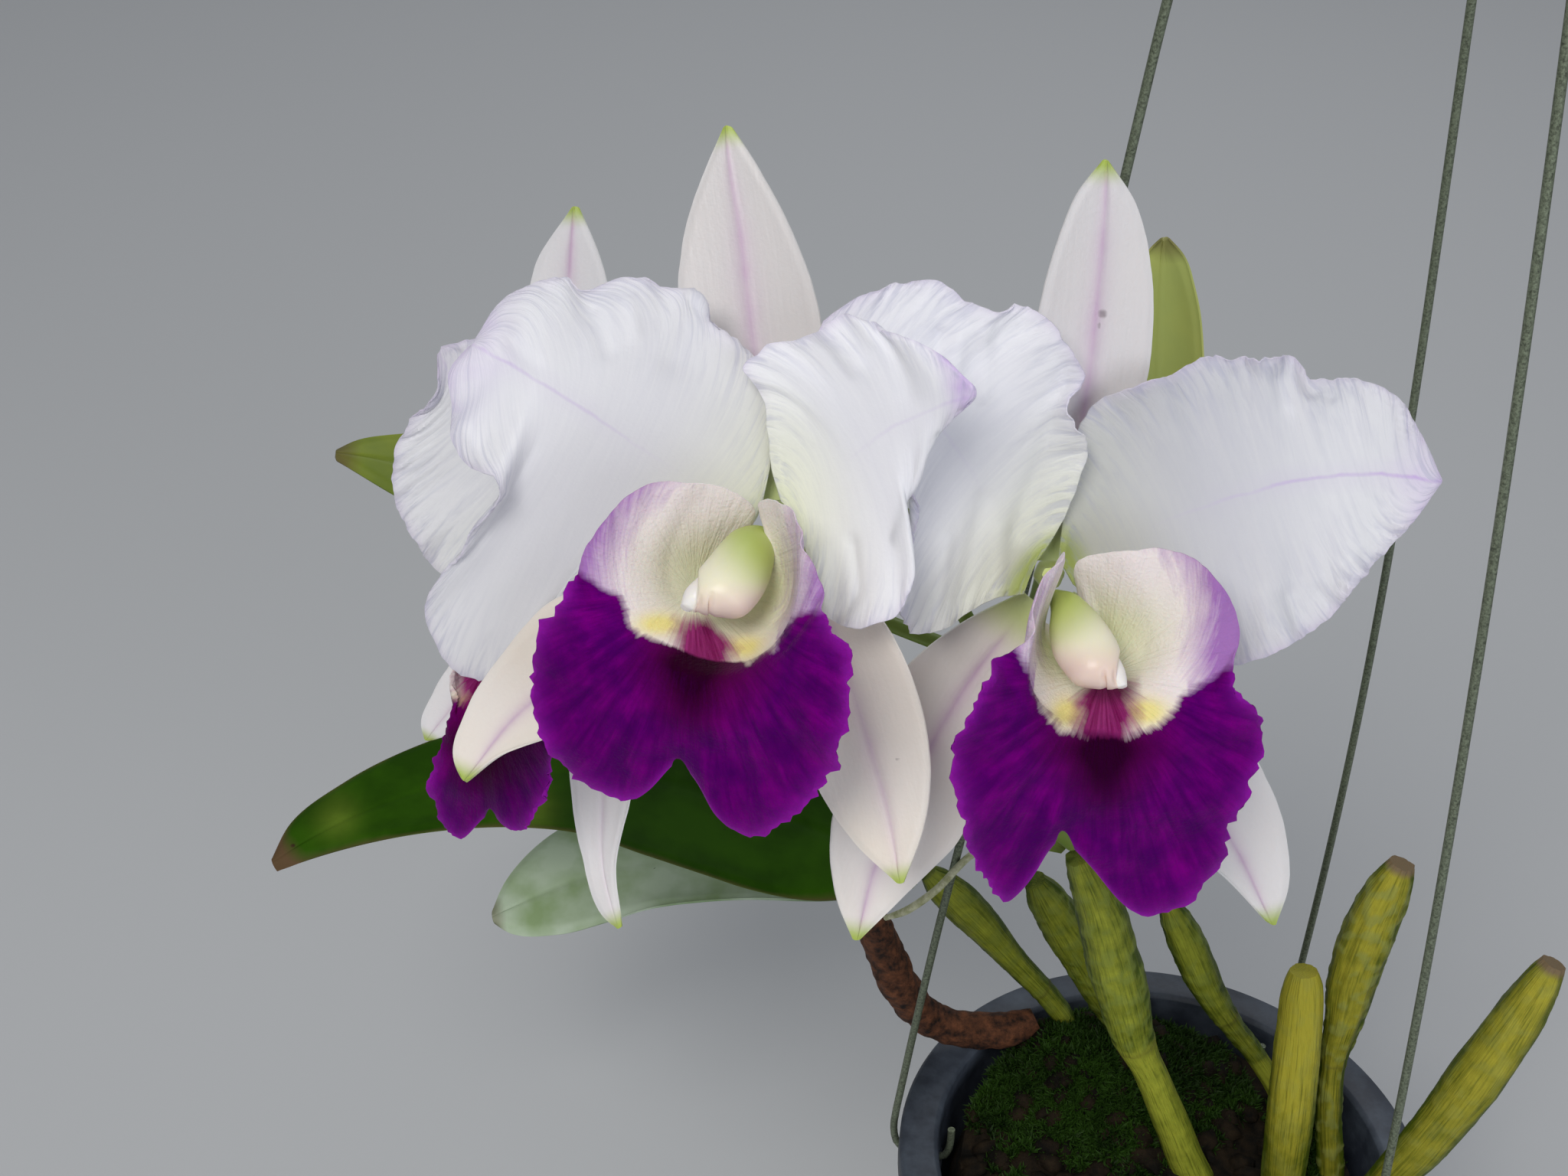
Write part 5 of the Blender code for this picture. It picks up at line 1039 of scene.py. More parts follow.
def galvanised_wire():
    """Hanger wire: zinc coat gone dull grey-green, with bright and dark flecks."""
    made, tree, shader = new_finish("galvanised_wire")
    place = add(tree, "ShaderNodeTexCoord").outputs["Object"]
    flecks = add(tree, "ShaderNodeTexNoise", {"Vector": place, "Scale": 1900.0, "Detail": 5.0,
                                              "Roughness": 0.7})
    tone = add(tree, "ShaderNodeMapRange", {"Value": flecks.outputs["Fac"], "From Min": 0.36,
                                            "From Max": 0.64})
    mixed = add(tree, "ShaderNodeMix", {FACTOR: tone.outputs[0], UNDER: colour("#3C4234"),
                                        OVER: colour("#848E78")}, data_type="RGBA")
    metal = add(tree, "ShaderNodeMapRange", {"Value": flecks.outputs["Fac"], "From Min": 0.4,
                                             "From Max": 0.7, "To Min": 0.2, "To Max": 0.75})
    rough = add(tree, "ShaderNodeMapRange", {"Value": flecks.outputs["Fac"], "To Min": 0.75, "To Max": 0.35})
    bump = add(tree, "ShaderNodeBump", {"Strength": 0.5, "Distance": 0.0002, "Height": flecks.outputs["Fac"]})
    tree.links.new(mixed.outputs[MIXED], shader.inputs["Base Color"])
    tree.links.new(metal.outputs[0], shader.inputs["Metallic"])
    tree.links.new(rough.outputs[0], shader.inputs["Roughness"])
    tree.links.new(bump.outputs[0], shader.inputs["Normal"])
    return made


def damp_bark(name, light, dark):
    """Growing medium: damp chipped bark, nearly black, with paler broken edges."""
    made, tree, shader = new_finish(name, Roughness=0.85, Specular_IOR_Level=0.15)
    place = add(tree, "ShaderNodeTexCoord").outputs["Object"]
    cloud = add(tree, "ShaderNodeTexNoise", {"Vector": place, "Scale": 180.0, "Detail": 6.0,
                                             "Roughness": 0.65})
    tone = add(tree, "ShaderNodeMapRange", {"Value": cloud.outputs["Fac"], "From Min": 0.4, "From Max": 0.7})
    mixed = add(tree, "ShaderNodeMix", {FACTOR: tone.outputs[0], UNDER: colour(dark),
                                        OVER: colour(light)}, data_type="RGBA")
    bump = add(tree, "ShaderNodeBump", {"Strength": 0.9, "Distance": 0.0012, "Height": cloud.outputs["Fac"]})
    tree.links.new(mixed.outputs[MIXED], shader.inputs["Base Color"])
    tree.links.new(bump.outputs[0], shader.inputs["Normal"])
    return made


def moss_leaf():
    """Moss: tiny translucent leaves, dark below and yellow-green at their tips."""
    made, tree, shader = new_finish("moss_leaf", Roughness=0.6, Specular_IOR_Level=0.15)
    place = add(tree, "ShaderNodeTexCoord").outputs["Object"]
    young = add(tree, "ShaderNodeAttribute", attribute_name="young").outputs["Fac"]
    cloud = add(tree, "ShaderNodeTexNoise", {"Vector": place, "Scale": 120.0, "Detail": 3.0})
    both = add(tree, "ShaderNodeMath", {0: young, 1: 0.5, 2: cloud.outputs["Fac"]}, operation="MULTIPLY_ADD")
    tone = add(tree, "ShaderNodeMapRange", {"Value": both.outputs[0], "From Min": 0.5, "From Max": 1.15})
    mixed = add(tree, "ShaderNodeMix", {FACTOR: tone.outputs[0], UNDER: colour("#0A1804"),
                                        OVER: colour("#2E4C12")}, data_type="RGBA")
    tree.links.new(mixed.outputs[MIXED], shader.inputs["Base Color"])
    return made


FINISHES = {
    "petal": petal_tissue(),
    "sepal": sepal_tissue(),
    "lip": lip_tissue(),
    "column": column_wax(),
    "leaf_dark": leaf_cuticle("leaf_cuticle_dark", "#1F3F02", "#4A6822", "#2E5406", 0.6, 0.05),
    "leaf_pale": leaf_cuticle("leaf_underside_glaucous", "#8BA276", "#6F8F5E", "#BCCBB8", 0.5),
    "leaf_young": leaf_cuticle("leaf_cuticle_young", "#7E8C2E", "#8C9A44", "#66782E", 0.45),
    # Painted light: both sides of the upright leaf are painted lighter than its own yellow-green, to make up for the
    # shade it stands in
    "leaf_fresh_painted_light": leaf_cuticle("leaf_cuticle_fresh_painted_light", "#C8CC80", "#B4BC68", "#A8B468", 0.45),
    "bulb": bulb_skin("pseudobulb_skin", "#3C4E0B", "#ABB03C", "#7E8C40"),
    "dry_bulb": bulb_skin("old_pseudobulb_skin", "#42520A", "#ACA436", "#8C9450"),
    "old_root": root_bark("dead_root_velamen", "#74462C", "#180C07", 330.0, 0.002),
    "aerial_root": root_bark("live_root_velamen", "#C9C9AE", "#8F9266", 500.0, 0.0003),
    "stalk": stalk_skin(),
    "pot": moulded_polypropylene(),
    "wire": galvanised_wire(),
    "bark": damp_bark("damp_fir_bark", "#2A2014", "#0A0805"),
    "moss": moss_leaf(),
}


# Blooms

PETAL_ROWS, PETAL_COLS = 127, 69
SEPAL_ROWS, SEPAL_COLS = 101, 33
LIP_ROWS, LIP_COLS = 141, 95

# How strongly lavender shows at each petal's apex, along its outer midrib and at its margin, and how much painted shade
# greys it, most towards its foot
PETAL_FLUSH = {
    "a_left": (0.3, 0.6, 0.3, 0.15), "a_right": (1.0, 0.3, 0.35, 0.0), "b_left": (0.1, 0.3, 0.35, 0.1),
    "b_right": (0.35, 0.8, 0.35, 0.5), "c_left": (0.2, 0.3, 0.4, 0.1), "c_right": (0.2, 0.4, 0.3, 0.1),
}
# How deep the crepe at each petal's margin is, in mm, and how far in it reaches
PETAL_CREPE = {
    "a_left": (0.7, 3.6), "a_right": (0.4, 3.0), "b_left": (1.5, 4.5), "b_right": (1.9, 4.6),
    "c_left": (2.0, 6.0), "c_right": (0.8, 4.0),
}
# Longer folds of each petal: the line that one follows as drawn, its half width and height
PETAL_FOLDS = {
    "a_left": [([(-55.5, 15), (-52, 8), (-48.6, 2.6)], 1.4, 0.5), ([(-15, 38), (-18, 29)], 3.0, 1.0),
               ([(-33, 37), (-30, 30)], 1.6, 0.7), ([(-26, 39), (-25, 33)], 1.3, -0.6),
               ([(-47, 31), (-43, 27)], 1.5, 0.5)],
    "a_right": [([(14.5, -5), (15.6, -14), (11.4, -20)], 1.2, 0.9), ([(8, -8), (10, -18)], 2.0, -0.7),
                ([(20, 30), (24, 22)], 2.5, 0.6), ([(10, 33), (15, 27)], 1.6, -0.6)],
    "b_left": [([(3, 38), (-1, 22), (-6, 8)], 2.0, 1.1), ([(-11.5, 44), (-12, 33)], 1.4, -0.8),
               ([(-20, 44), (-20, 36)], 1.3, 0.8), ([(-16, 45), (-17, 37)], 1.1, -0.6),
               ([(-12, 14), (-16, -4)], 1.8, 0.7), ([(-19, 6), (-21, -8)], 1.4, -0.7),
               ([(-9, 8), (-9.5, -5)], 1.6, -0.6)],
    "b_right": [([(46.4, 39), (48.0, 34)], 1.5, -1.2), ([(42, 35), (43, 31)], 1.7, 0.9),
                ([(51, 37), (51.2, 33)], 1.4, -0.8), ([(43.5, -4), (45.4, -10)], 1.5, 1.0),
                ([(48.9, -3), (51.3, -6)], 1.3, 0.9), ([(39, -4), (40, -10)], 1.6, -0.8)],
    "c_left": [], "c_right": [],
}


def folded(grid, bloom, folds):
    """Folds raised or sunk along lines drawn on the bloom."""
    place = drawn_place(bloom, grid)
    lift = np.zeros(grid.shape[:2])
    for line, width, height in folds:
        lift = lift + height * np.exp(-(below_line(place, line) / width) ** 2)
    return grid + sheet_normals(grid) * lift[..., None]


def build_petals(key, bloom):
    for number, (name, margins) in enumerate(PETALS.items()):
        if name[0] != key:
            continue
        grid = tepal_grid(bloom, margins, PETAL_FRONT, PETAL_SWEEP, PETAL_ROWS, PETAL_COLS)
        grid = ruffled(grid, 0.9, 5.0, 0.6)
        fields = sheet_fields(grid)
        height, reach = PETAL_CREPE[name]
        grid = crepe(grid, fields, height, 1.9, reach, number)
        grid = folded(grid, bloom, PETAL_FOLDS[name])
        grid = frayed(grid, fields, 0.45, 4.0, number)
        along, margin = fields["along"], fields["margin"]
        apex, rib, edge, dull = PETAL_FLUSH[name]
        # Painted shade: grey mixed into the petal, full at its foot and a fifth of that at its tip
        fields["dull"] = dull * (1.0 - 0.8 * smooth_step(along, 0.35, 0.8))
        flush = apex * smooth_step(along, 0.82, 1.0)
        flush = flush + edge * np.exp(-margin / 1.2) * smooth_step(along, 0.15, 0.4)
        fields["flush"] = np.clip(flush, 0.0, 1.0)
        fields["rib"] = rib * smooth_step(along, 0.2, 0.75)
        fields["cream"] = 1.0 - smooth_step(along, 0.0, 0.45)
        fields["foot"] = (0.8 if key == "b" else 0.15) * (1.0 - smooth_step(along, 0.02, 0.09))
        fields["near"] = np.exp(-margin / (1.3 * reach))
        thick = thin_edges(PETAL_THICK, fields)
        add_sheet(f"petal_{name}", grid, thick, fields, FINISHES["petal"],
                  f"bloom_{key}_petal_{name[2:]}")


# How warm each sepal is, how pink its midline, and how much painted shade greys it
SEPAL_TINT = {
    "a_dorsal": (0.35, 0.7, 0.3), "a_left": (0.9, 0.75, 0.0), "a_right": (0.95, 0.5, 0.0),
    "b_dorsal": (0.3, 0.75, 0.2), "b_left": (0.7, 0.9, 0.0), "b_right": (0.35, 0.8, 0.0),
    "c_dorsal": (0.1, 0.9, 0.1), "c_left": (0.2, 0.5, 0.0), "c_right": (0.3, 0.3, 0.0),
}


# Small blemishes: place as drawn, and size
SEPAL_SPOTS = {"b_dorsal": [(9.6, 47.6, 0.8), (8.9, 45.4, 0.45)], "a_right": [(22.9, -44.5, 0.4)]}


def build_sepals(key, bloom):
    for number, (name, margins) in enumerate(SEPALS.items()):
        if name[0] != key:
            continue
        grid = tepal_grid(bloom, margins, SEPAL_BACK, SEPAL_SWEEP, SEPAL_ROWS, SEPAL_COLS)
        fields = sheet_fields(grid)
        grid = frayed(grid, fields, 0.12, 6.0, 20 + number)
        along, across = fields["along"], fields["across"]
        warm, pink, dull = SEPAL_TINT[name]
        # Painted shade: an even grey over the whole sepal
        fields["dull"] = dull + 0.0 * along
        crease = np.exp(-(across / 0.06) ** 2) * smooth_step(along, 0.05, 0.3)
        grid = grid - sheet_normals(grid) * (0.25 * crease)[..., None]
        fields["line"] = pink * np.exp(-np.abs(across) / 0.1) * smooth_step(along, 0.02, 0.2)
        fields["blush"] = warm * (0.75 + 0.25 * drift(grid, 18.0, 40 + number))
        fields["green"] = smooth_step(along, 0.93, 1.0) + 0.7 * (1.0 - smooth_step(along, 0.04, 0.16))
        place = drawn_place(bloom, grid)
        marks = [np.linalg.norm(place - np.array(mark[:2]), axis=2) / mark[2]
                 for mark in SEPAL_SPOTS.get(name, [])]
        fields["spot"] = np.minimum.reduce(marks + [np.full(along.shape, 9.0)])
        thick = thin_edges(SEPAL_THICK, fields)
        add_sheet(f"sepal_{name}", grid, thick, fields, FINISHES["sepal"],
                  f"bloom_{key}_sepal_{name[2:]}")


# Marks of each lip, drawn as its margins are: the edge of the purple from left to right, the
# inner edge of each side lobe's lilac, the yellow patches, the crimson between them, and
# the dark centre of the front lobe
LIP_MARKS = {
    "a": {
        "purple": [(-39, -8), (-36, -10.4), (-33.4, -11.4), (-27.6, -15.6), (-25.8, -21), (-21.5, -22.8),
                   (-17, -22.8), (-13, -25), (-9, -25.6), (-7.6, -25.4), (-4.8, -27.2), (0.4, -24.6),
                   (1.4, -20.6), (5, -18.6), (8.6, -17.6), (11, -15)],
        "lilac": [[(-27, -17), (-28.5, -12), (-27.4, -7), (-24.5, -1), (-19, 4.2), (-13, 7.4)],
                  [(2.2, 3.4), (2.9, 0.8), (3.2, -5), (2.8, -12.4), (1.4, -19.8)]],
        "yellow": [(-20.9, -20.1, 4.2, 2.0), (-5.0, -24.0, 3.2, 2.7)],
        "heart": [(-12, -17.5), (-12.4, -21.5), (-12.6, -26)],
        "dark": (-14.6, -31.0),
    },
    "b": {
        "purple": [(-8, -11), (-5.4, -14.4), (-3.4, -18), (-2.6, -21.6), (-0.4, -25.6), (2.4, -28.6),
                   (5.4, -29.2), (8, -29.4), (13, -29.2), (16, -28.8), (19.6, -27.8), (22.4, -25.2),
                   (24.2, -22.2), (27.6, -20), (32, -17.4), (36, -15)],
        "lilac": [[(-2.3, -15.5), (-1.2, -8), (0.7, -1.5), (3.4, 5.4)],
                  [(17, 6), (19.7, 4.2), (23.4, 0), (25.6, -6.6), (24.4, -14), (24.8, -18.6)]],
        "yellow": [(3.2, -25.4, 3.2, 2.8), (17.5, -25.2, 4.2, 2.6)],
        "heart": [(9.6, -19), (10.2, -24), (10.4, -28)],
        "dark": (10.0, -35.6),
    },
    "c": {
        "purple": [(-24, -20), (-20, -24), (-14, -30), (-6, -32), (2, -30)],
        "lilac": [[(-22, -16), (-18, -8), (-10, 0)], [(6, 4), (6, -12), (2, -24)]],
        "yellow": [(-17, -26, 3.0, 2.4), (-9, -27, 3.0, 2.4)],
        "heart": [(-14, -22), (-14, -28)],
        "dark": (-14, -36),
    },
}
HEART_REACH = 5.2


def drawn_place(bloom, grid):
    """Each point's place as its bloom is drawn: units across and up from the centre."""
    across, down = sheet_place(grid)
    u = (across - bloom["centre"][0]) / DRAWN_UNIT
    v = (bloom["centre"][1] - down) / DRAWN_UNIT
    return np.stack([u, v], axis=-1)


def below_line(place, line):
    """Distance from a drawn line, positive below it."""
    best = np.full(place.shape[:2], 1e9)
    signed = np.zeros(place.shape[:2])
    for start, end in zip(line[:-1], line[1:]):
        start = np.array(start, float)
        way = np.array(end, float) - start
        share = np.clip(((place - start) @ way) / (way @ way), 0.0, 1.0)
        off = place - (start + share[..., None] * way)
        far = np.linalg.norm(off, axis=2)
        turned = way[0] * off[..., 1] - way[1] * off[..., 0]
        nearer = far < best
        best = np.where(nearer, far, best)
        signed = np.where(nearer, -np.sign(turned) * far, signed)
    return signed


def lip_marks(key, fields, place):
    """How far inside each coloured area of a lip its points lie, in mm, or how strongly."""
    along, across, margin = (fields[k] for k in ("along", "across", "margin"))
    marks = LIP_MARKS[key]
    fields["limb"] = below_line(place, marks["purple"]) - 8.0 * (1.0 - smooth_step(along, 0.22, 0.34))
    left, right = (-below_line(place, line) for line in marks["lilac"])
    band = np.where(across < 0.0, left, right) - 9.0 * (1.0 - smooth_step(along, 0.05, 0.14))
    fields["band"] = band - 12.0 * smooth_step(along, 0.5, 0.62)
    yellow = [np.exp(-(((place[..., 0] - u) / wide) ** 2 + ((place[..., 1] - v) / tall) ** 2))
              for u, v, wide, tall in marks["yellow"]]
    fields["yellow"] = np.clip(sum(yellow) * 1.25, 0.0, 1.0) * smooth_step(along, 0.18, 0.26)
    heart = HEART_REACH - np.abs(below_line(place, marks["heart"]))
    fields["heart"] = heart - 8.0 * (1.0 - smooth_step(along, 0.14, 0.26))
    off = (place - np.array(marks["dark"])) / [1.0, 1.25]
    fields["dark"] = np.exp(-(np.linalg.norm(off, axis=2) / 6.0) ** 2)
    wings = np.exp(-((place[..., 0] - marks["dark"][0]) / 11.0) ** 2 - ((off[..., 1] - 3.2) / 2.4) ** 2)
    fields["dark"] = np.clip(fields["dark"] + 0.55 * wings, 0.0, 1.0)
    fields["throat"] = 0.85 * (1.0 - smooth_step(along, 0.08, 0.34)) * smooth_step(margin, 3.0, 18.0)


def build_lip(key, bloom):
    grid = lip_grid(key, bloom, LIP_ROWS, LIP_COLS)
    grid = ruffled(grid, 0.8, 6.0, 0.4, 4.0)
    fields = sheet_fields(grid)
    along, margin = fields["along"], fields["margin"]
    lobe = smooth_step(along, 0.44, 0.52)
    number = ord(key)
    toothed = frayed(grid, fields, 1.1, 1.4, number)
    toothed = toothed + frayed(grid, fields, 1.1, 5.0, number + 7) - grid
    soft = frayed(grid, fields, 0.3, 4.0, number)
    grid = soft + (toothed - soft) * lobe[..., None]
    place = drawn_place(bloom, grid)
    lip_marks(key, fields, place)
    fields["pale"] = np.exp(-margin / 1.6) * lobe
    centre = np.array(LIP_MARKS[key]["dark"]) + [0.0, 17.0]
    bearing = np.arctan2(place[..., 0] - centre[0], centre[1] - place[..., 1])
    reach = np.linalg.norm(place - centre, axis=2)
    fields["spoke_x"] = 12.0 * np.cos(bearing)
    fields["spoke_y"] = 12.0 * np.sin(bearing)
    fields["reach"] = reach
    spokes = np.stack([fields["spoke_x"], fields["spoke_y"], 0.12 * reach], axis=-1)
    ridge = 0.7 * drift(spokes, 2.2, number + 9) + 0.9 * drift(grid, 7.0, number + 4)
    ridge = ridge * smooth_step(reach, 13.0, 28.0) * lobe
    grid = grid + sheet_normals(grid) * ridge[..., None]
    add_sheet(f"lip_{key}", grid, thin_edges(LIP_THICK, fields), fields, FINISHES["lip"],
              f"bloom_{key}_lip")


COLUMN_RINGS, COLUMN_SIDES = 110, 90
# Each anther: the way it faces as drawn, how far out it starts, the furrows between the
# teeth of the hood over it, how low they start, and the way that the green foot lies
ANTHERS = {
    "a": ((-1.0, 0.0), 14.0, (-13.4, -11.3), -13.6, (0.75, 0.66)),
    "b": ((0.984, -0.179), 15.6, (10.0, 12.0), -16.6, (-0.6, 0.8)),
    "c": ((-1.0, 0.0), 16.4, (-14.6,), -15.0, (0.75, 0.66)),
}


def build_column(key, bloom):
    """A waxy hood between its two drawn edges, with the pale anther set back in its end."""
    edges = []
    for side in range(2):
        placed = [bloom_point(bloom, (*s[side], s[2]), 0.0, 0.0) for s in COLUMNS[key]]
        edges.append(spline(placed, COLUMN_RINGS, even=False))
    path = (edges[0] + edges[1]) / 2
    half = (edges[1] - edges[0]) / 2
    front = np.cross(np.gradient(path, axis=0), half)
    front *= COLUMN_DEPTH * (np.linalg.norm(half, axis=1) / np.linalg.norm(front, axis=1))[:, None]
    angle = 2 * np.pi * np.arange(COLUMN_SIDES) / COLUMN_SIDES
    ring = np.stack([np.cos(angle), np.sin(angle)], axis=1)
    grid = path[:, None] + ring[None, :, :1] * half[:, None] + ring[None, :, 1:] * front[:, None]
    place = drawn_place(bloom, grid)
    facing, start, furrows, low, foot = ANTHERS[key]
    outward = place @ np.array(facing)
    cap = smooth_step(outward, start - 0.15, start + 0.25)
    dent = 0.7 * cap * smooth_step(start + 2.6 - outward, 0.0, 2.6)
    dent = dent + 0.3 * np.exp(-((outward - start) / 0.3) ** 2)
    for u in furrows:
        furrow = np.exp(-((place[..., 0] - u) / 0.34) ** 2)
        dent = dent + 0.9 * furrow * smooth_step(-place[..., 1], -low, 2.6 - low)
    inward = path[:, None] - grid
    size = np.linalg.norm(inward, axis=2)[..., None] + 1e-6
    grid = grid + inward / size * np.minimum(dent[..., None], 0.5 * size)
    fields = {
        "green": smooth_step(place @ np.array(foot), -16.0, -5.5),
        "pink": smooth_step(-place[..., 1], 11.0, 18.0) * (1.0 - cap),
        "cap": cap,
    }
    add_tube(f"column_{key}", grid, path, FINISHES["column"],
             f"bloom_{key}_column", fields)


def build_stalks():
    apex = spot(1408, 1118, 474) + [-1.2, -0.2, 4.0]
    path = spline([apex, (-45.5, -17.0, 128.0), (-50.5, -9.0, 141.0), FORK], 40)
    grid = tube_points(path, swell(40, [(0, 2.2), (0.15, 2.9), (0.8, 2.6), (1, 2.0)]), 20)
    far = np.zeros(grid.shape[:2])
    add_tube("flower_spike_skin", grid, path, FINISHES["stalk"], "flower_spike",
             {"far": far})
    for key, bloom in BLOOMS.items():
        back = bloom_point(bloom, (0, 0, 0), -12.0, 0.0)
        neck = bloom_point(bloom, (0, 0, 0), -8.0, 0.0)
        front = bloom_point(bloom, (0, 0, 0), -0.6, 0.0)
        path = spline(STALK_ROUTES[key] + [back, neck, front], 80)
        radii = swell(80, [(0, 1.6), (0.5, 1.9), (0.7, 2.9), (0.82, 2.7), (0.88, 1.5), (1, 1.2)])
        angle = 2 * np.pi * np.arange(24) / 24
        ovary = smooth_step(np.linspace(0, 1, 80), 0.55, 0.7)[:, None]
        ribbed = radii[:, None] * (1.0 + 0.05 * ovary * np.cos(6 * angle)[None, :])
        grid = tube_points(path, ribbed, 24)
        far = smooth_step(np.linspace(0, 1, 80), 0.3, 0.9)[:, None] * np.ones((1, 24))
        add_tube(f"stalk_{key}_skin", grid, path, FINISHES["stalk"],
                 f"bloom_{key}_stalk", {"far": far})


# Leaves

LEAF_ROWS, LEAF_COLS = 141, 49
# Each leaf's finish and slot, how far along it its dead tip starts and how dead that is,
# how brown its margin is, and its lighter patches as places on the drawing sheet
LEAF_LOOKS = {
    "leaf_large": ("leaf_dark", "leaf_green", 0.965, 0.9, 0.5, [(440, 1070), (700, 1060)]),
    "leaf_pale": ("leaf_pale", "leaf_pale", 0.975, 0.5, 0.1, []),
    "leaf_far_left": ("leaf_young", "leaf_green", 0.975, 0.7, 0.1, []),
    "leaf_upright": ("leaf_fresh_painted_light", "leaf_yellow_green", 0.97, 0.55, 0.1, []),
}


def build_leaves():
    for number, (name, (left, middle, right)) in enumerate(LEAVES.items()):
        edges = [spline(spots(curve), LEAF_ROWS) for curve in (left, middle, right)]
        grid = loft(*edges, LEAF_COLS)
        fields = sheet_fields(grid)
        along, across, margin = (fields[k] for k in ("along", "across", "margin"))
        groove = np.exp(-(across / 0.05) ** 2)
        slow = 0.5 * drift(grid, 22.0, 60 + number) * smooth_step(margin, 0.0, 6.0)
        grid = grid + sheet_normals(grid) * (slow - 0.35 * groove)[..., None]
        finish, slot, start, dead, worn, patches = LEAF_LOOKS[name]
        fields["brown"] = dead * smooth_step(along, start - 0.02, 0.995) + worn * np.exp(-margin / 1.2)
        sheet = np.stack(sheet_place(grid), axis=-1)
        light = [np.exp(-(np.linalg.norm(sheet - np.array(p), axis=2) / 26.0) ** 2) for p in patches]
        fields["light"] = 0.6 * np.clip(sum(light) + np.zeros_like(along), 0.0, 1.0)
        add_sheet(f"{name}_blade", grid, thin_edges(LEAF_THICK, fields, 0.3, 2.5), fields,
                  FINISHES[finish], name)


# Pseudobulbs and roots

BULB_RINGS, BULB_SIDES = 130, 72
# The way that the painted light on the pseudobulbs comes from, close to the key light and the viewer
PAINTED_LIGHT_WAY = np.array([-0.26, -0.77, 0.58])
BULB_AGE = {"pseudobulb_stub": 1.0, "pseudobulb_bare": 0.3, "pseudobulb_leaning": 0.3}
# Where a ring of old scales goes round each pseudobulb, how deep its lengthwise ridges
# are in mm, where its dry tip starts, how torn the sheath on it is, and up to where its
# lower part is bare and yellow
BULB_LOOKS = {
    "pseudobulb_front": ((0.59,), 0.2, 2.0, 0.9, 0.6), "pseudobulb_middle": ((0.5,), 0.25, 2.0, 0.8, 0.3),
    "pseudobulb_left": ((0.42,), 0.25, 2.0, 0.5, 0.2), "pseudobulb_back": ((0.5,), 0.25, 2.0, 0.7, 0.3),
    "pseudobulb_stub": ((), 0.35, 0.985, 0.3, 0.0), "pseudobulb_bare": ((0.45,), 0.4, 0.965, 1.0, 0.0),
    "pseudobulb_leaning": ((), 0.35, 0.96, 0.4, 0.0),
}


def build_bulbs():
    angle = 2 * np.pi * np.arange(BULB_SIDES) / BULB_SIDES
    for number, (name, (route, stations, skin)) in enumerate(BULBS.items()):
        joints, ridge, dry_from, torn, bare_to = BULB_LOOKS[name]
        path = spline(spots(route), BULB_RINGS)
        along = np.linspace(0.0, 1.0, BULB_RINGS)[:, None] * np.ones((1, BULB_SIDES))
        length = along * np.linalg.norm(np.diff(path, axis=0), axis=1).sum()
        label = np.stack([6.0 * np.cos(angle) * np.ones_like(along),
                          6.0 * np.sin(angle) * np.ones_like(along), 0.1 * length], axis=-1)
        radii = swell(BULB_RINGS, stations)[:, None] * np.ones((1, BULB_SIDES))
        grid = tube_points(path, radii, BULB_SIDES)
        wobble = 0.01 * drift(grid, 4.0, number)
        ring = sum([np.exp(-((along + wobble - joint) / 0.006) ** 2) for joint in joints], 0.0 * along)
        ridges = drift(label, 2.2, 30 + number) + 0.5 * drift(label, 1.0, 40 + number)
        clad = smooth_step(along + wobble, bare_to - 0.01, bare_to + 0.01)
        scraps = smooth_step(drift(grid, 2.6, 50 + number), 0.08, 0.22) * torn * clad
        radii = radii + ridge * ridges + 0.22 * ring + 0.2 * scraps
        radii = radii * (1.0 + 0.03 * drift(grid, 9.0, number + 5))
        grid = tube_points(path, radii, BULB_SIDES)
        outward = grid - path[:, None]
        outward /= np.linalg.norm(outward, axis=2)[..., None]
        fields = {
            "age": BULB_AGE.get(name, 0.2) * smooth_step(along, 0.2, 1.0) + 0.6 * (1.0 - clad),
            # Painted light: the side that faces that way
            "painted_light": smooth_step(outward @ PAINTED_LIGHT_WAY, 0.1, 0.95),
            "ring": np.clip(ring, 0.0, 1.0) * 0.5,
            "torn": scraps,
            "tip": smooth_step(along, dry_from, dry_from + 0.04),
            "turn_x": label[..., 0],
            "turn_y": label[..., 1],
            "length": length,
        }
        finish = FINISHES["dry_bulb" if skin == "dry_bulb_skin" else "bulb"]
        add_tube(f"{name}_skin", grid, path, finish, name, fields)


def build_roots():
    old = [(1140, 1196, 541), (1149, 1225, 548), (1178, 1290, 560), (1222, 1334, 571),
           (1275, 1346, 574), (1330, 1340, 574), (1352, 1330, 574)]
    path = spline(spots(old), 90)
    radii = swell(90, [(0, 2.2), (0.06, 4.2), (0.3, 4.8), (0.6, 4.4), (0.93, 4.4), (1, 2.6)])
    grid = tube_points(path, radii, 40)
    rough = 1.0 + 0.1 * drift(grid, 2.4, 7) + 0.08 * drift(grid, 6.0, 8)
    grid = tube_points(path, radii[:, None] * rough, 40)
    add_tube("old_root_bark", grid, path, FINISHES["old_root"], "old_root")
    thin = [(1318, 1100, 516), (1270, 1116, 509), (1222, 1163, 505), (1190, 1186, 510),
            (1157, 1199, 520)]
    path = spline(spots(thin), 60)
    grid = tube_points(path, swell(60, [(0, 0.8), (0.8, 0.9), (1, 0.6)]), 16)
    add_tube("aerial_root_skin", grid, path, FINISHES["aerial_root"], "aerial_root")


# Hanger


def wire_radius_at(height):
    """How far a hanger wire stands from the axis at a height over the rim."""
    return (RIM_RADIUS + WIRE_RADIUS + 0.6) * (1.0 - (height / JOIN_HEIGHT) ** WIRE_BOW)


# Radius and height of a wire's end, round the rim and in through the wall
WIRE_HOOK = [(64.6, 0.0), (64.7, -6.0), (63.4, -11.0), (59.5, -14.0), (55.0, -14.2),
             (51.6, -12.6), (50.6, -8.0), (50.7, -3.0)]


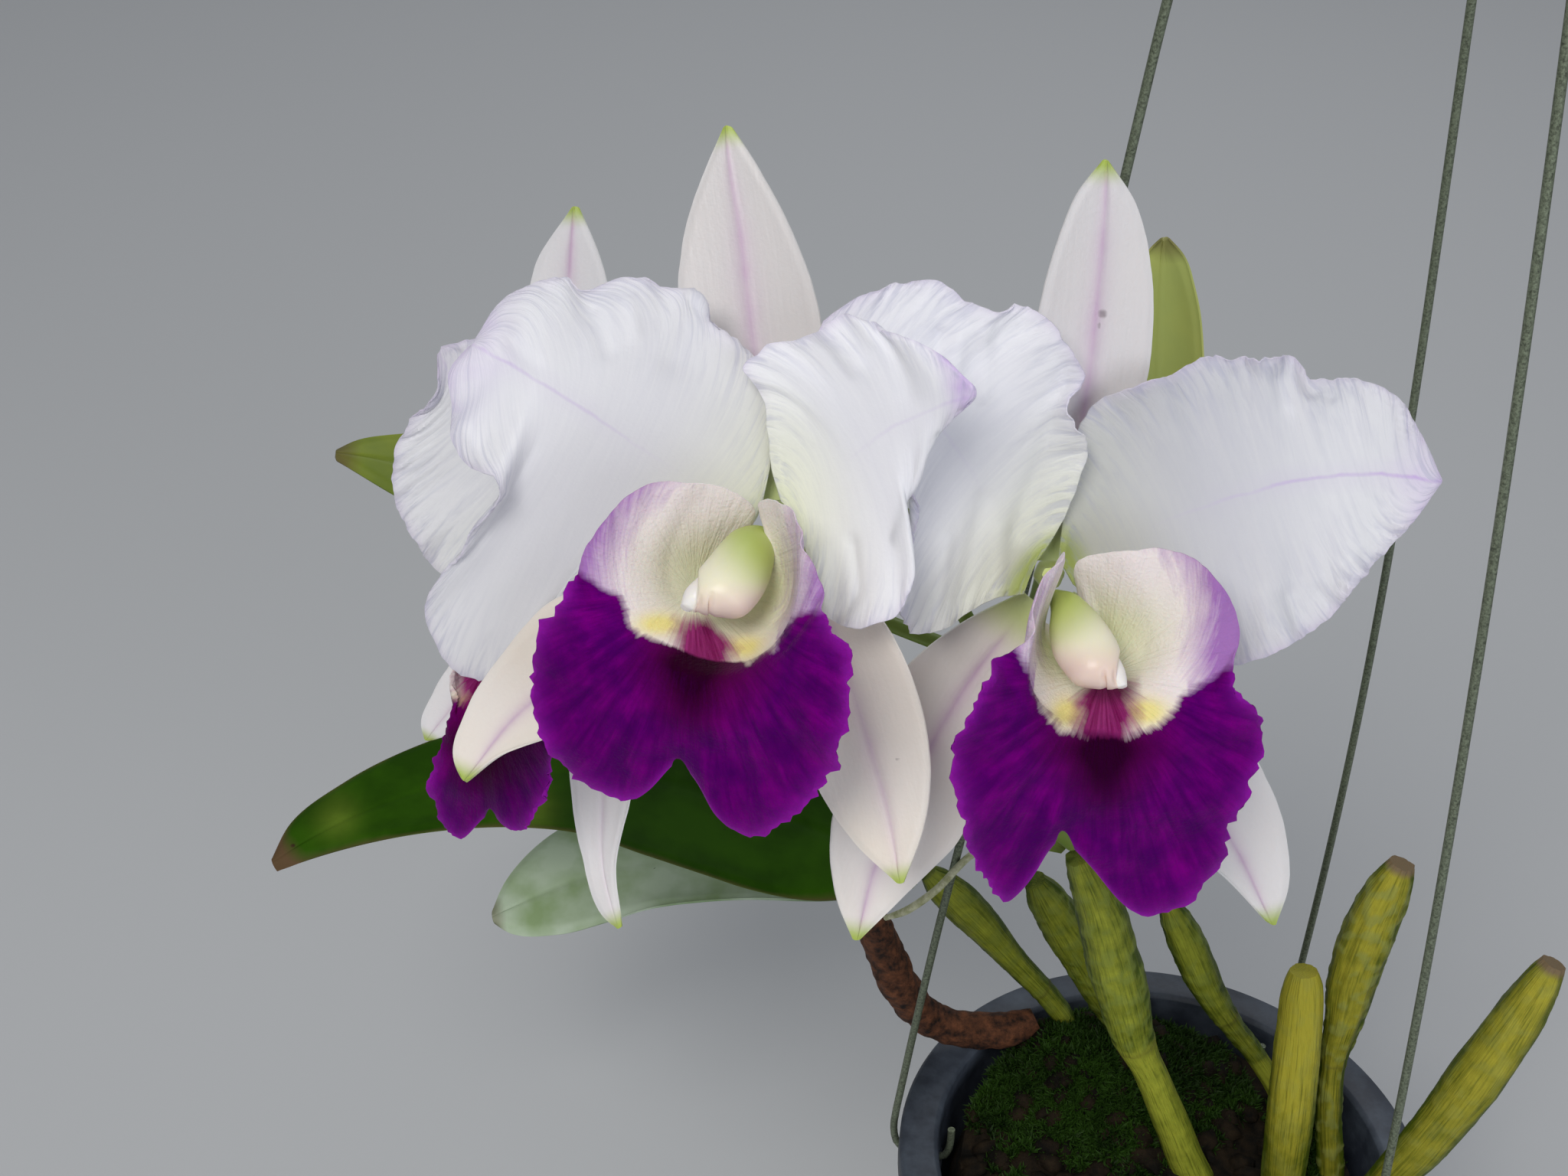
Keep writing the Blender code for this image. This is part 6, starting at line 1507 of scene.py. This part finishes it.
def wire_route(side):
    """Down from the collar, over the rim, in through the wall and up again as a tail."""
    top = JOIN_HEIGHT - 14.0
    bow, bend, inward = WIRE_BENDS[side]
    route = []
    for height in np.linspace(top, 6.0, WIRE_STEPS):
        turn = math.pi * height / top
        sway = bow * math.sin(turn) + bend * math.sin(2 * turn)
        drawn_in = inward * math.sin(math.pi * min(height / INWARD_TOP, 1.0))
        route.append((wire_radius_at(height) - drawn_in, sway, height))
    for radius, height in WIRE_HOOK:
        route.append((radius, 0.0, height))
    angle = math.radians(WIRE_ANGLES[side])
    c, s = math.cos(angle), math.sin(angle)
    return [(r * c - sway * s, r * s + sway * c, z) for r, sway, z in route]


def build_hanger():
    for side in WIRE_ANGLES:
        path = spline(wire_route(side), 220)
        grid = tube_points(path, np.full(220, WIRE_RADIUS), 14)
        add_tube(f"wire_{side}_zinc", grid, path, FINISHES["wire"], f"hanger_wire_{side}")
    build_hook()
    build_winding()


def build_hook():
    """One stiff wire bent into an open hook, its shank thickened by the gathered ends."""
    bend = 11.4
    centre = HOOK_RISE - 10.0
    route = [(0, 0, JOIN_HEIGHT - 13.4), (0, 0, JOIN_HEIGHT - 13.0), (0, 0, JOIN_HEIGHT - 8.0)]
    route += [(0, 0, JOIN_HEIGHT - 2.0), (0, 0, JOIN_HEIGHT + 2.0), (0.4, 0, JOIN_HEIGHT + 8.0)]
    route += [(4.5, 0, centre - 21.0), (9.8, 0, centre - 12.0)]
    for step in range(11):
        angle = math.radians(-12 + 204 * step / 10)
        route.append((bend * math.cos(angle), 0, centre + bend * math.sin(angle)))
    route += [(-13.6, 0, centre - 9.5)]
    radii = [2.6, 3.0, 3.1, 3.0, 2.6, 1.4] + [1.4] * (len(route) - 6)
    both = spline([(*point, radius) for point, radius in zip(route, radii)], 200)
    grid = tube_points(both[:, :3], both[:, 3], 24)
    add_tube("hook_zinc", grid, both[:, :3], FINISHES["wire"], "hanger_hook")


WINDING_TURNS = 8
WINDING_REACH = 3.8


def build_winding():
    """A thinner wire wound tightly round the gathered ends, as their collar."""
    steps = WINDING_TURNS * 28
    turn = np.linspace(0.0, 2 * math.pi * WINDING_TURNS, steps)
    height = np.linspace(JOIN_HEIGHT - 12.6, JOIN_HEIGHT + 1.6, steps)
    path = np.stack([WINDING_REACH * np.cos(turn), WINDING_REACH * np.sin(turn), height], axis=1)
    grid = tube_points(path, np.full(steps, 0.85), 10)
    add_tube("collar_winding", grid, path, FINISHES["wire"], "hanger_hook")


# Pot and what it holds


def lathe(profile, sides):
    """Points and faces of a profile of (radius, height) turned round Z, closed on the axis."""
    rings = np.array(profile[1:-1], float)
    angle = 2 * np.pi * np.arange(sides) / sides
    points = np.stack([rings[:, :1] * np.cos(angle), rings[:, :1] * np.sin(angle),
                       rings[:, 1:] * np.ones(sides)], axis=2).reshape(-1, 3)
    ends = [(0.0, 0.0, profile[0][1]), (0.0, 0.0, profile[-1][1])]
    return np.concatenate([points, ends]), tube_faces(len(rings), sides)


def rounded(profile, step=2.0):
    """The profile with points added close to each corner, so that it shades as a moulded edge."""
    pts = np.array(profile, float)
    made = [pts[0]]
    for before, here, after in zip(pts[:-2], pts[1:-1], pts[2:]):
        near = min(step, np.linalg.norm(here - before) / 3, np.linalg.norm(after - here) / 3)
        made.append(here + (before - here) / np.linalg.norm(before - here) * near * 0.35)
        made.append(here + (after - here) / np.linalg.norm(after - here) * near * 0.35)
    made.append(pts[-1])
    return [tuple(p) for p in made]


def in_metres(points):
    return ((np.asarray(points, float) - [0.0, 0.0, HOOK_RISE]) / 1000.0).tolist()


def with_holes(name, points, faces, rods):
    """The mesh of a solid after plain round holes are cut along (start, end, radius) rods."""
    parts = [(points, faces)]
    for start, end, radius in rods:
        path = np.linspace(np.array(start, float), np.array(end, float), 3)
        grid = tube_points(path, np.full(3, radius), 24)
        parts.append((np.concatenate([grid.reshape(-1, 3), [path[0], path[-1]]]), tube_faces(3, 24)))
    made = []
    for corners, sides in parts:
        mesh = bpy.data.meshes.new(name)
        mesh.from_pydata(in_metres(corners), [], [tuple(side) for side in sides])
        made.append(bpy.data.objects.new(name, mesh))
        bpy.context.scene.collection.objects.link(made[-1])
    for tool in made[1:]:
        hole = made[0].modifiers.new("hole", "BOOLEAN")
        hole.operation = "DIFFERENCE"
        hole.solver = "MANIFOLD"
        hole.object = tool
    graph = bpy.context.evaluated_depsgraph_get()
    cut = bpy.data.meshes.new_from_object(made[0].evaluated_get(graph))
    for old in made:
        bpy.data.objects.remove(old, do_unlink=True)
    return cut


def build_pot():
    floor = -POT_HEIGHT
    under = RIM_INNER + POT_WALL
    profile = [(0, floor + 2.0), (POT_BASE - 8.0, floor + 2.0), (POT_BASE - 6.0, floor)]
    profile += [(POT_BASE, floor), (under, -8.2), (RIM_RADIUS - 1.2, -8.0), (RIM_RADIUS, -7.0)]
    profile += [(RIM_RADIUS, -1.0), (RIM_RADIUS - 0.8, -0.1), (RIM_INNER + 1.2, 0.0)]
    profile += [(RIM_INNER, -1.0), (RIM_INNER - 0.2, -8.0), (POT_BASE - POT_WALL, floor + 4.0)]
    profile += [(0, floor + 4.0)]
    points, faces = lathe(rounded(profile), 128)
    rods = [((0, 0, floor - 4), (0, 0, floor + 9), 6.0)]
    for step in range(5):
        turn = math.radians(72 * step + 30)
        x, y = 22 * math.cos(turn), 22 * math.sin(turn)
        rods.append(((x, y, floor - 4), (x, y, floor + 9), 4.5))
    for angle in WIRE_ANGLES.values():
        way = np.array([math.cos(math.radians(angle)), math.sin(math.radians(angle)), 0.0])
        drop = np.array([0.0, 0.0, -HANGER_HOLE_DROP])
        rods.append((way * 48 + drop, way * 61 + drop, 2.6))
    mesh = with_holes("pot_wall", points, faces, rods)
    add_mesh("pot_wall", mesh, FINISHES["pot"], "pot", 35.0)


def medium_height(x, y):
    """The top of the bark: a mound of old roots at the back left, with a few slow lumps."""
    far = min(math.hypot(x, y) / 50.0, 1.0)
    mound = 16.0 * math.exp(-((x + 14.0) / 26.0) ** 2 - ((y - 30.0) / 20.0) ** 2)
    lumps = 1.3 * math.sin(0.16 * x + 0.4) * math.cos(0.19 * y)
    lumps += 0.8 * math.sin(0.31 * x - 0.27 * y)
    return -8.0 + mound + lumps * (1.0 - far ** 4)


BED_SIDES = 120
BED_RINGS = 56


def bed_grid(radii):
    """Rings of points on the top of the growing medium, with its small lumps."""
    angle = 2 * np.pi * np.arange(BED_SIDES) / BED_SIDES
    grid = np.stack([radii[:, None] * np.cos(angle), radii[:, None] * np.sin(angle),
                     np.zeros((len(radii), BED_SIDES))], axis=2)
    for ring in grid:
        for point in ring:
            point[2] = medium_height(point[0], point[1])
    grid[..., 2] += 0.9 * drift(grid, 5.0, 3) + 0.6 * drift(grid, 2.2, 4) - 0.4
    return grid


def build_medium():
    top = np.linspace(0.8, 47.6, BED_RINGS)
    grid = bed_grid(np.concatenate([top, [50.2, 49.8, 38.2]]))
    grid[BED_RINGS:, :, 2] = np.array([-19.0, -24.0, -POT_HEIGHT + 4.6])[:, None]
    path = np.array([[0, 0, grid[0, :, 2].mean()], [0, 0, -POT_HEIGHT + 4.6]])
    points = np.concatenate([grid.reshape(-1, 3), path])
    faces = [tuple(reversed(f)) for f in tube_faces(len(grid), BED_SIDES)]
    add_piece("bark_bed", points, faces, FINISHES["bark"], "growing_medium")


def scatter_tree(name, item):
    """Nodes that stand copies of an item on a surface, as thick as its cover value says."""
    tree = bpy.data.node_groups.new(name, "GeometryNodeTree")
    face = tree.interface
    face.new_socket("Geometry", in_out="INPUT", socket_type="NodeSocketGeometry")
    for label in ("Per Square Metre", "Least", "Most", "Tilt"):
        face.new_socket(label, in_out="INPUT", socket_type="NodeSocketFloat")
    face.new_socket("Seed", in_out="INPUT", socket_type="NodeSocketInt")
    face.new_socket("Finish", in_out="INPUT", socket_type="NodeSocketMaterial")
    face.new_socket("Geometry", in_out="OUTPUT", socket_type="NodeSocketGeometry")
    given = add(tree, "NodeGroupInput").outputs
    cover = add(tree, "GeometryNodeInputNamedAttribute", {"Name": "cover"}, data_type="FLOAT").outputs[0]
    thick = add(tree, "ShaderNodeMath", {0: cover, 1: given["Per Square Metre"]}, operation="MULTIPLY")
    spread = add(tree, "GeometryNodeDistributePointsOnFaces",
                 {"Mesh": given["Geometry"], "Density": thick.outputs[0], "Seed": given["Seed"]})
    shape = add(tree, "GeometryNodeObjectInfo", {"Object": item}, transform_space="ORIGINAL")
    lean = add(tree, "ShaderNodeMath", {0: given["Tilt"], 1: -1.0}, operation="MULTIPLY")
    low = add(tree, "ShaderNodeCombineXYZ", {"X": lean.outputs[0], "Y": lean.outputs[0], "Z": 0.0})
    high = add(tree, "ShaderNodeCombineXYZ", {"X": given["Tilt"], "Y": given["Tilt"], "Z": 2 * math.pi})
    spun = add(tree, "FunctionNodeRandomValue", {0: low.outputs[0], 1: high.outputs[0],
                                                 "Seed": given["Seed"]}, data_type="FLOAT_VECTOR")
    turn = add(tree, "FunctionNodeEulerToRotation", {0: spun.outputs[0]})
    posed = add(tree, "FunctionNodeRotateRotation", {0: spread.outputs["Rotation"], 1: turn.outputs[0]},
                rotation_space="LOCAL")
    size = add(tree, "FunctionNodeRandomValue", {2: given["Least"], 3: given["Most"],
                                                 "Seed": given["Seed"]}, data_type="FLOAT")
    stood = add(tree, "GeometryNodeInstanceOnPoints",
                {"Points": spread.outputs["Points"], "Instance": shape.outputs["Geometry"],
                 "Rotation": posed.outputs[0], "Scale": size.outputs[1]})
    real = add(tree, "GeometryNodeRealizeInstances", {"Geometry": stood.outputs[0]})
    dressed = add(tree, "GeometryNodeSetMaterial", {"Geometry": real.outputs[0], "Material": given["Finish"]})
    add(tree, "NodeGroupOutput", {"Geometry": dressed.outputs[0]})
    return tree


def scattered(name, base, item, values, finish):
    """A piece of many copies of an item on a base surface. The item is used up."""
    tree = scatter_tree(name, item)
    spread = base.modifiers.new(name, "NODES")
    spread.node_group = tree
    values = {**values, "Finish": finish}
    for socket in tree.interface.items_tree:
        if socket.in_out == "INPUT" and socket.name in values:
            spread[socket.identifier] = values[socket.name]
    graph = bpy.context.evaluated_depsgraph_get()
    mesh = bpy.data.meshes.new_from_object(base.evaluated_get(graph))
    base.modifiers.remove(spread)
    bpy.data.objects.remove(item, do_unlink=True)
    return add_mesh(name, mesh, finish)


def bare_object(name, points, faces, fields=None):
    """An object in metres that is only used to make a piece from, and then removed."""
    mesh = bpy.data.meshes.new(name)
    mesh.from_pydata(points, [], faces)
    for field, values in (fields or {}).items():
        layer = mesh.attributes.new(field, "FLOAT", "POINT")
        layer.data.foreach_set("value", np.asarray(values, np.float32).ravel())
    made = bpy.data.objects.new(name, mesh)
    bpy.context.scene.collection.objects.link(made)
    return made


def moss_tuft():
    """Seven pointed leaves that spread from one point, 1 mm high before they are scaled."""
    points = []
    faces = []
    young = []
    for leaf in range(7):
        angle = 2.4 * leaf
        lean = 0.25 + 0.11 * leaf
        out = np.array([math.cos(angle), math.sin(angle), 0.0])
        side = np.array([-out[1], out[0], 0.0])
        start = len(points)
        for rise, wide in ((0.0, 0.07), (0.55, 0.11)):
            middle = out * lean * rise + [0.0, 0.0, rise * (1.1 - 0.6 * lean)]
            points += [middle - side * wide, middle + side * wide]
        points.append(out * lean * 1.25 + [0.0, 0.0, 1.1 - 0.6 * lean])
        faces += [(start, start + 1, start + 3, start + 2), (start + 2, start + 3, start + 4)]
        young += [0.0, 0.0, 0.5, 0.5, 1.0]
    return bare_object("tuft", (np.array(points) / 1000.0).tolist(), faces, {"young": young})


def bark_chip():
    """A broken lump of bark 1 mm long before it is scaled, with uneven flat sides."""
    ball = bpy.data.meshes.new("chip")
    shape = bmesh.new()
    bmesh.ops.create_icosphere(shape, subdivisions=1, radius=0.5)
    for corner in shape.verts:
        rough = 1.0 + 0.45 * noise.noise(corner.co * 3.1 + Vector((4.0, 7.0, 2.0)))
        corner.co = Vector((corner.co.x, corner.co.y * 0.62, corner.co.z * 0.45)) * rough / 1000.0
    shape.to_mesh(ball)
    shape.free()
    made = bpy.data.objects.new("chip", ball)
    bpy.context.scene.collection.objects.link(made)
    return made


def build_cover():
    """Moss on the mound and in patches, and chips of bark all over the bed."""
    rings = bed_grid(np.linspace(0.8, 47.0, BED_RINGS))
    x, y = rings[..., 0], rings[..., 1]
    mound = np.exp(-((x + 12.0) / 30.0) ** 2 - ((y - 30.0) / 24.0) ** 2)
    patches = drift(rings, 13.0, 71) + 0.4 * drift(rings, 4.0, 72)
    mossy = np.clip(smooth_step(mound, 0.15, 0.5) + smooth_step(patches, 0.1, 0.4), 0.0, 1.0)
    start = (np.arange(BED_RINGS - 1)[:, None] * BED_SIDES + np.arange(BED_SIDES)[None, :]).ravel()
    turned = (start // BED_SIDES) * BED_SIDES + (start + 1) % BED_SIDES
    faces = np.stack([start, start + BED_SIDES, turned + BED_SIDES, turned], axis=1).tolist()
    points = in_metres(rings.reshape(-1, 3))
    bed = bare_object("bed", points, faces, {"cover": mossy})
    scattered("moss", bed, moss_tuft(), {"Per Square Metre": 1.4e6, "Least": 1.2, "Most": 3.0,
                                         "Tilt": 0.5, "Seed": 5}, FINISHES["moss"])
    bpy.data.objects.remove(bed, do_unlink=True)
    bed = bare_object("bed", points, faces, {"cover": np.ones(BED_RINGS * BED_SIDES)})
    scattered("bark_chips", bed, bark_chip(), {"Per Square Metre": 3.2e4, "Least": 4.0, "Most": 11.0,
                                               "Tilt": 0.5, "Seed": 9}, FINISHES["bark"])
    bpy.data.objects.remove(bed, do_unlink=True)


# Camera, floor and light


def add_camera():
    lens = SENSOR_WIDTH * SHEET_DEPTH / SHEET_SIZE[0]
    data = bpy.data.cameras.new("camera")
    data.sensor_width = SENSOR_WIDTH
    data.lens = lens
    data.clip_start = 0.01
    data.clip_end = 50.0
    made = bpy.data.objects.new("camera", data)
    bpy.context.scene.collection.objects.link(made)
    turn = Matrix([[*axis] for axis in zip(RIGHT, UP, -FORWARD)])
    made.matrix_world = Matrix.Translation((EYE - [0.0, 0.0, HOOK_RISE]) / 1000.0) @ turn.to_4x4()
    bpy.context.scene.camera = made
    bpy.context.scene.view_settings.view_transform = "Standard"


WORLD_LIGHT = 0.34


def add_light(name, place, aim, size, power, tint="#FFFFFF"):
    data = bpy.data.lights.new(name, "AREA")
    data.shape = "DISK"
    data.size = size
    data.energy = power
    data.color = colour(tint)[:3]
    made = bpy.data.objects.new(name, data)
    bpy.context.scene.collection.objects.link(made)
    direction = Vector(aim) - Vector(place)
    made.matrix_world = Matrix.Translation(place) @ direction.to_track_quat("-Z", "Y").to_matrix().to_4x4()


def add_studio():
    """A plain pale floor under the pot, one soft key light from the upper left and fill."""
    floor_height = -(HOOK_RISE + POT_HEIGHT) / 1000.0
    mesh = bpy.data.meshes.new("floor")
    mesh.from_pydata([(-4, -4, floor_height), (4, -4, floor_height), (4, 4, floor_height),
                      (-4, 4, floor_height)], [], [(0, 1, 2, 3)])
    floor = bpy.data.objects.new("floor", mesh)
    bpy.context.scene.collection.objects.link(floor)
    made, _, shader = new_finish("studio_floor", Roughness=0.9)
    shader.inputs["Base Color"].default_value = colour("#BFC1C4")
    mesh.materials.append(made)
    world = bpy.data.worlds.new("studio")
    world.use_nodes = True
    world.node_tree.nodes["Background"].inputs[0].default_value = colour("#DDE2E8")
    world.node_tree.nodes["Background"].inputs[1].default_value = WORLD_LIGHT
    bpy.context.scene.world = world
    add_light("key", (-0.45, -0.85, 0.65), (-0.05, 0.0, -0.42), 0.6, 10.5, "#FFFCF6")
    add_light("fill", (0.5, -1.0, -0.15), (0.0, 0.0, -0.45), 0.9, 3.6, "#F6F8FF")
    add_light("rim", (0.2, 0.9, 0.5), (0.0, 0.0, -0.4), 0.6, 3.0, "#FFFFFF")


def build():
    add_camera()
    build_hanger()
    build_pot()
    build_medium()
    build_cover()
    build_bulbs()
    build_roots()
    build_leaves()
    for key, bloom in BLOOMS.items():
        build_sepals(key, bloom)
        build_petals(key, bloom)
        build_lip(key, bloom)
        build_column(key, bloom)
    build_stalks()
    add_studio()


build()
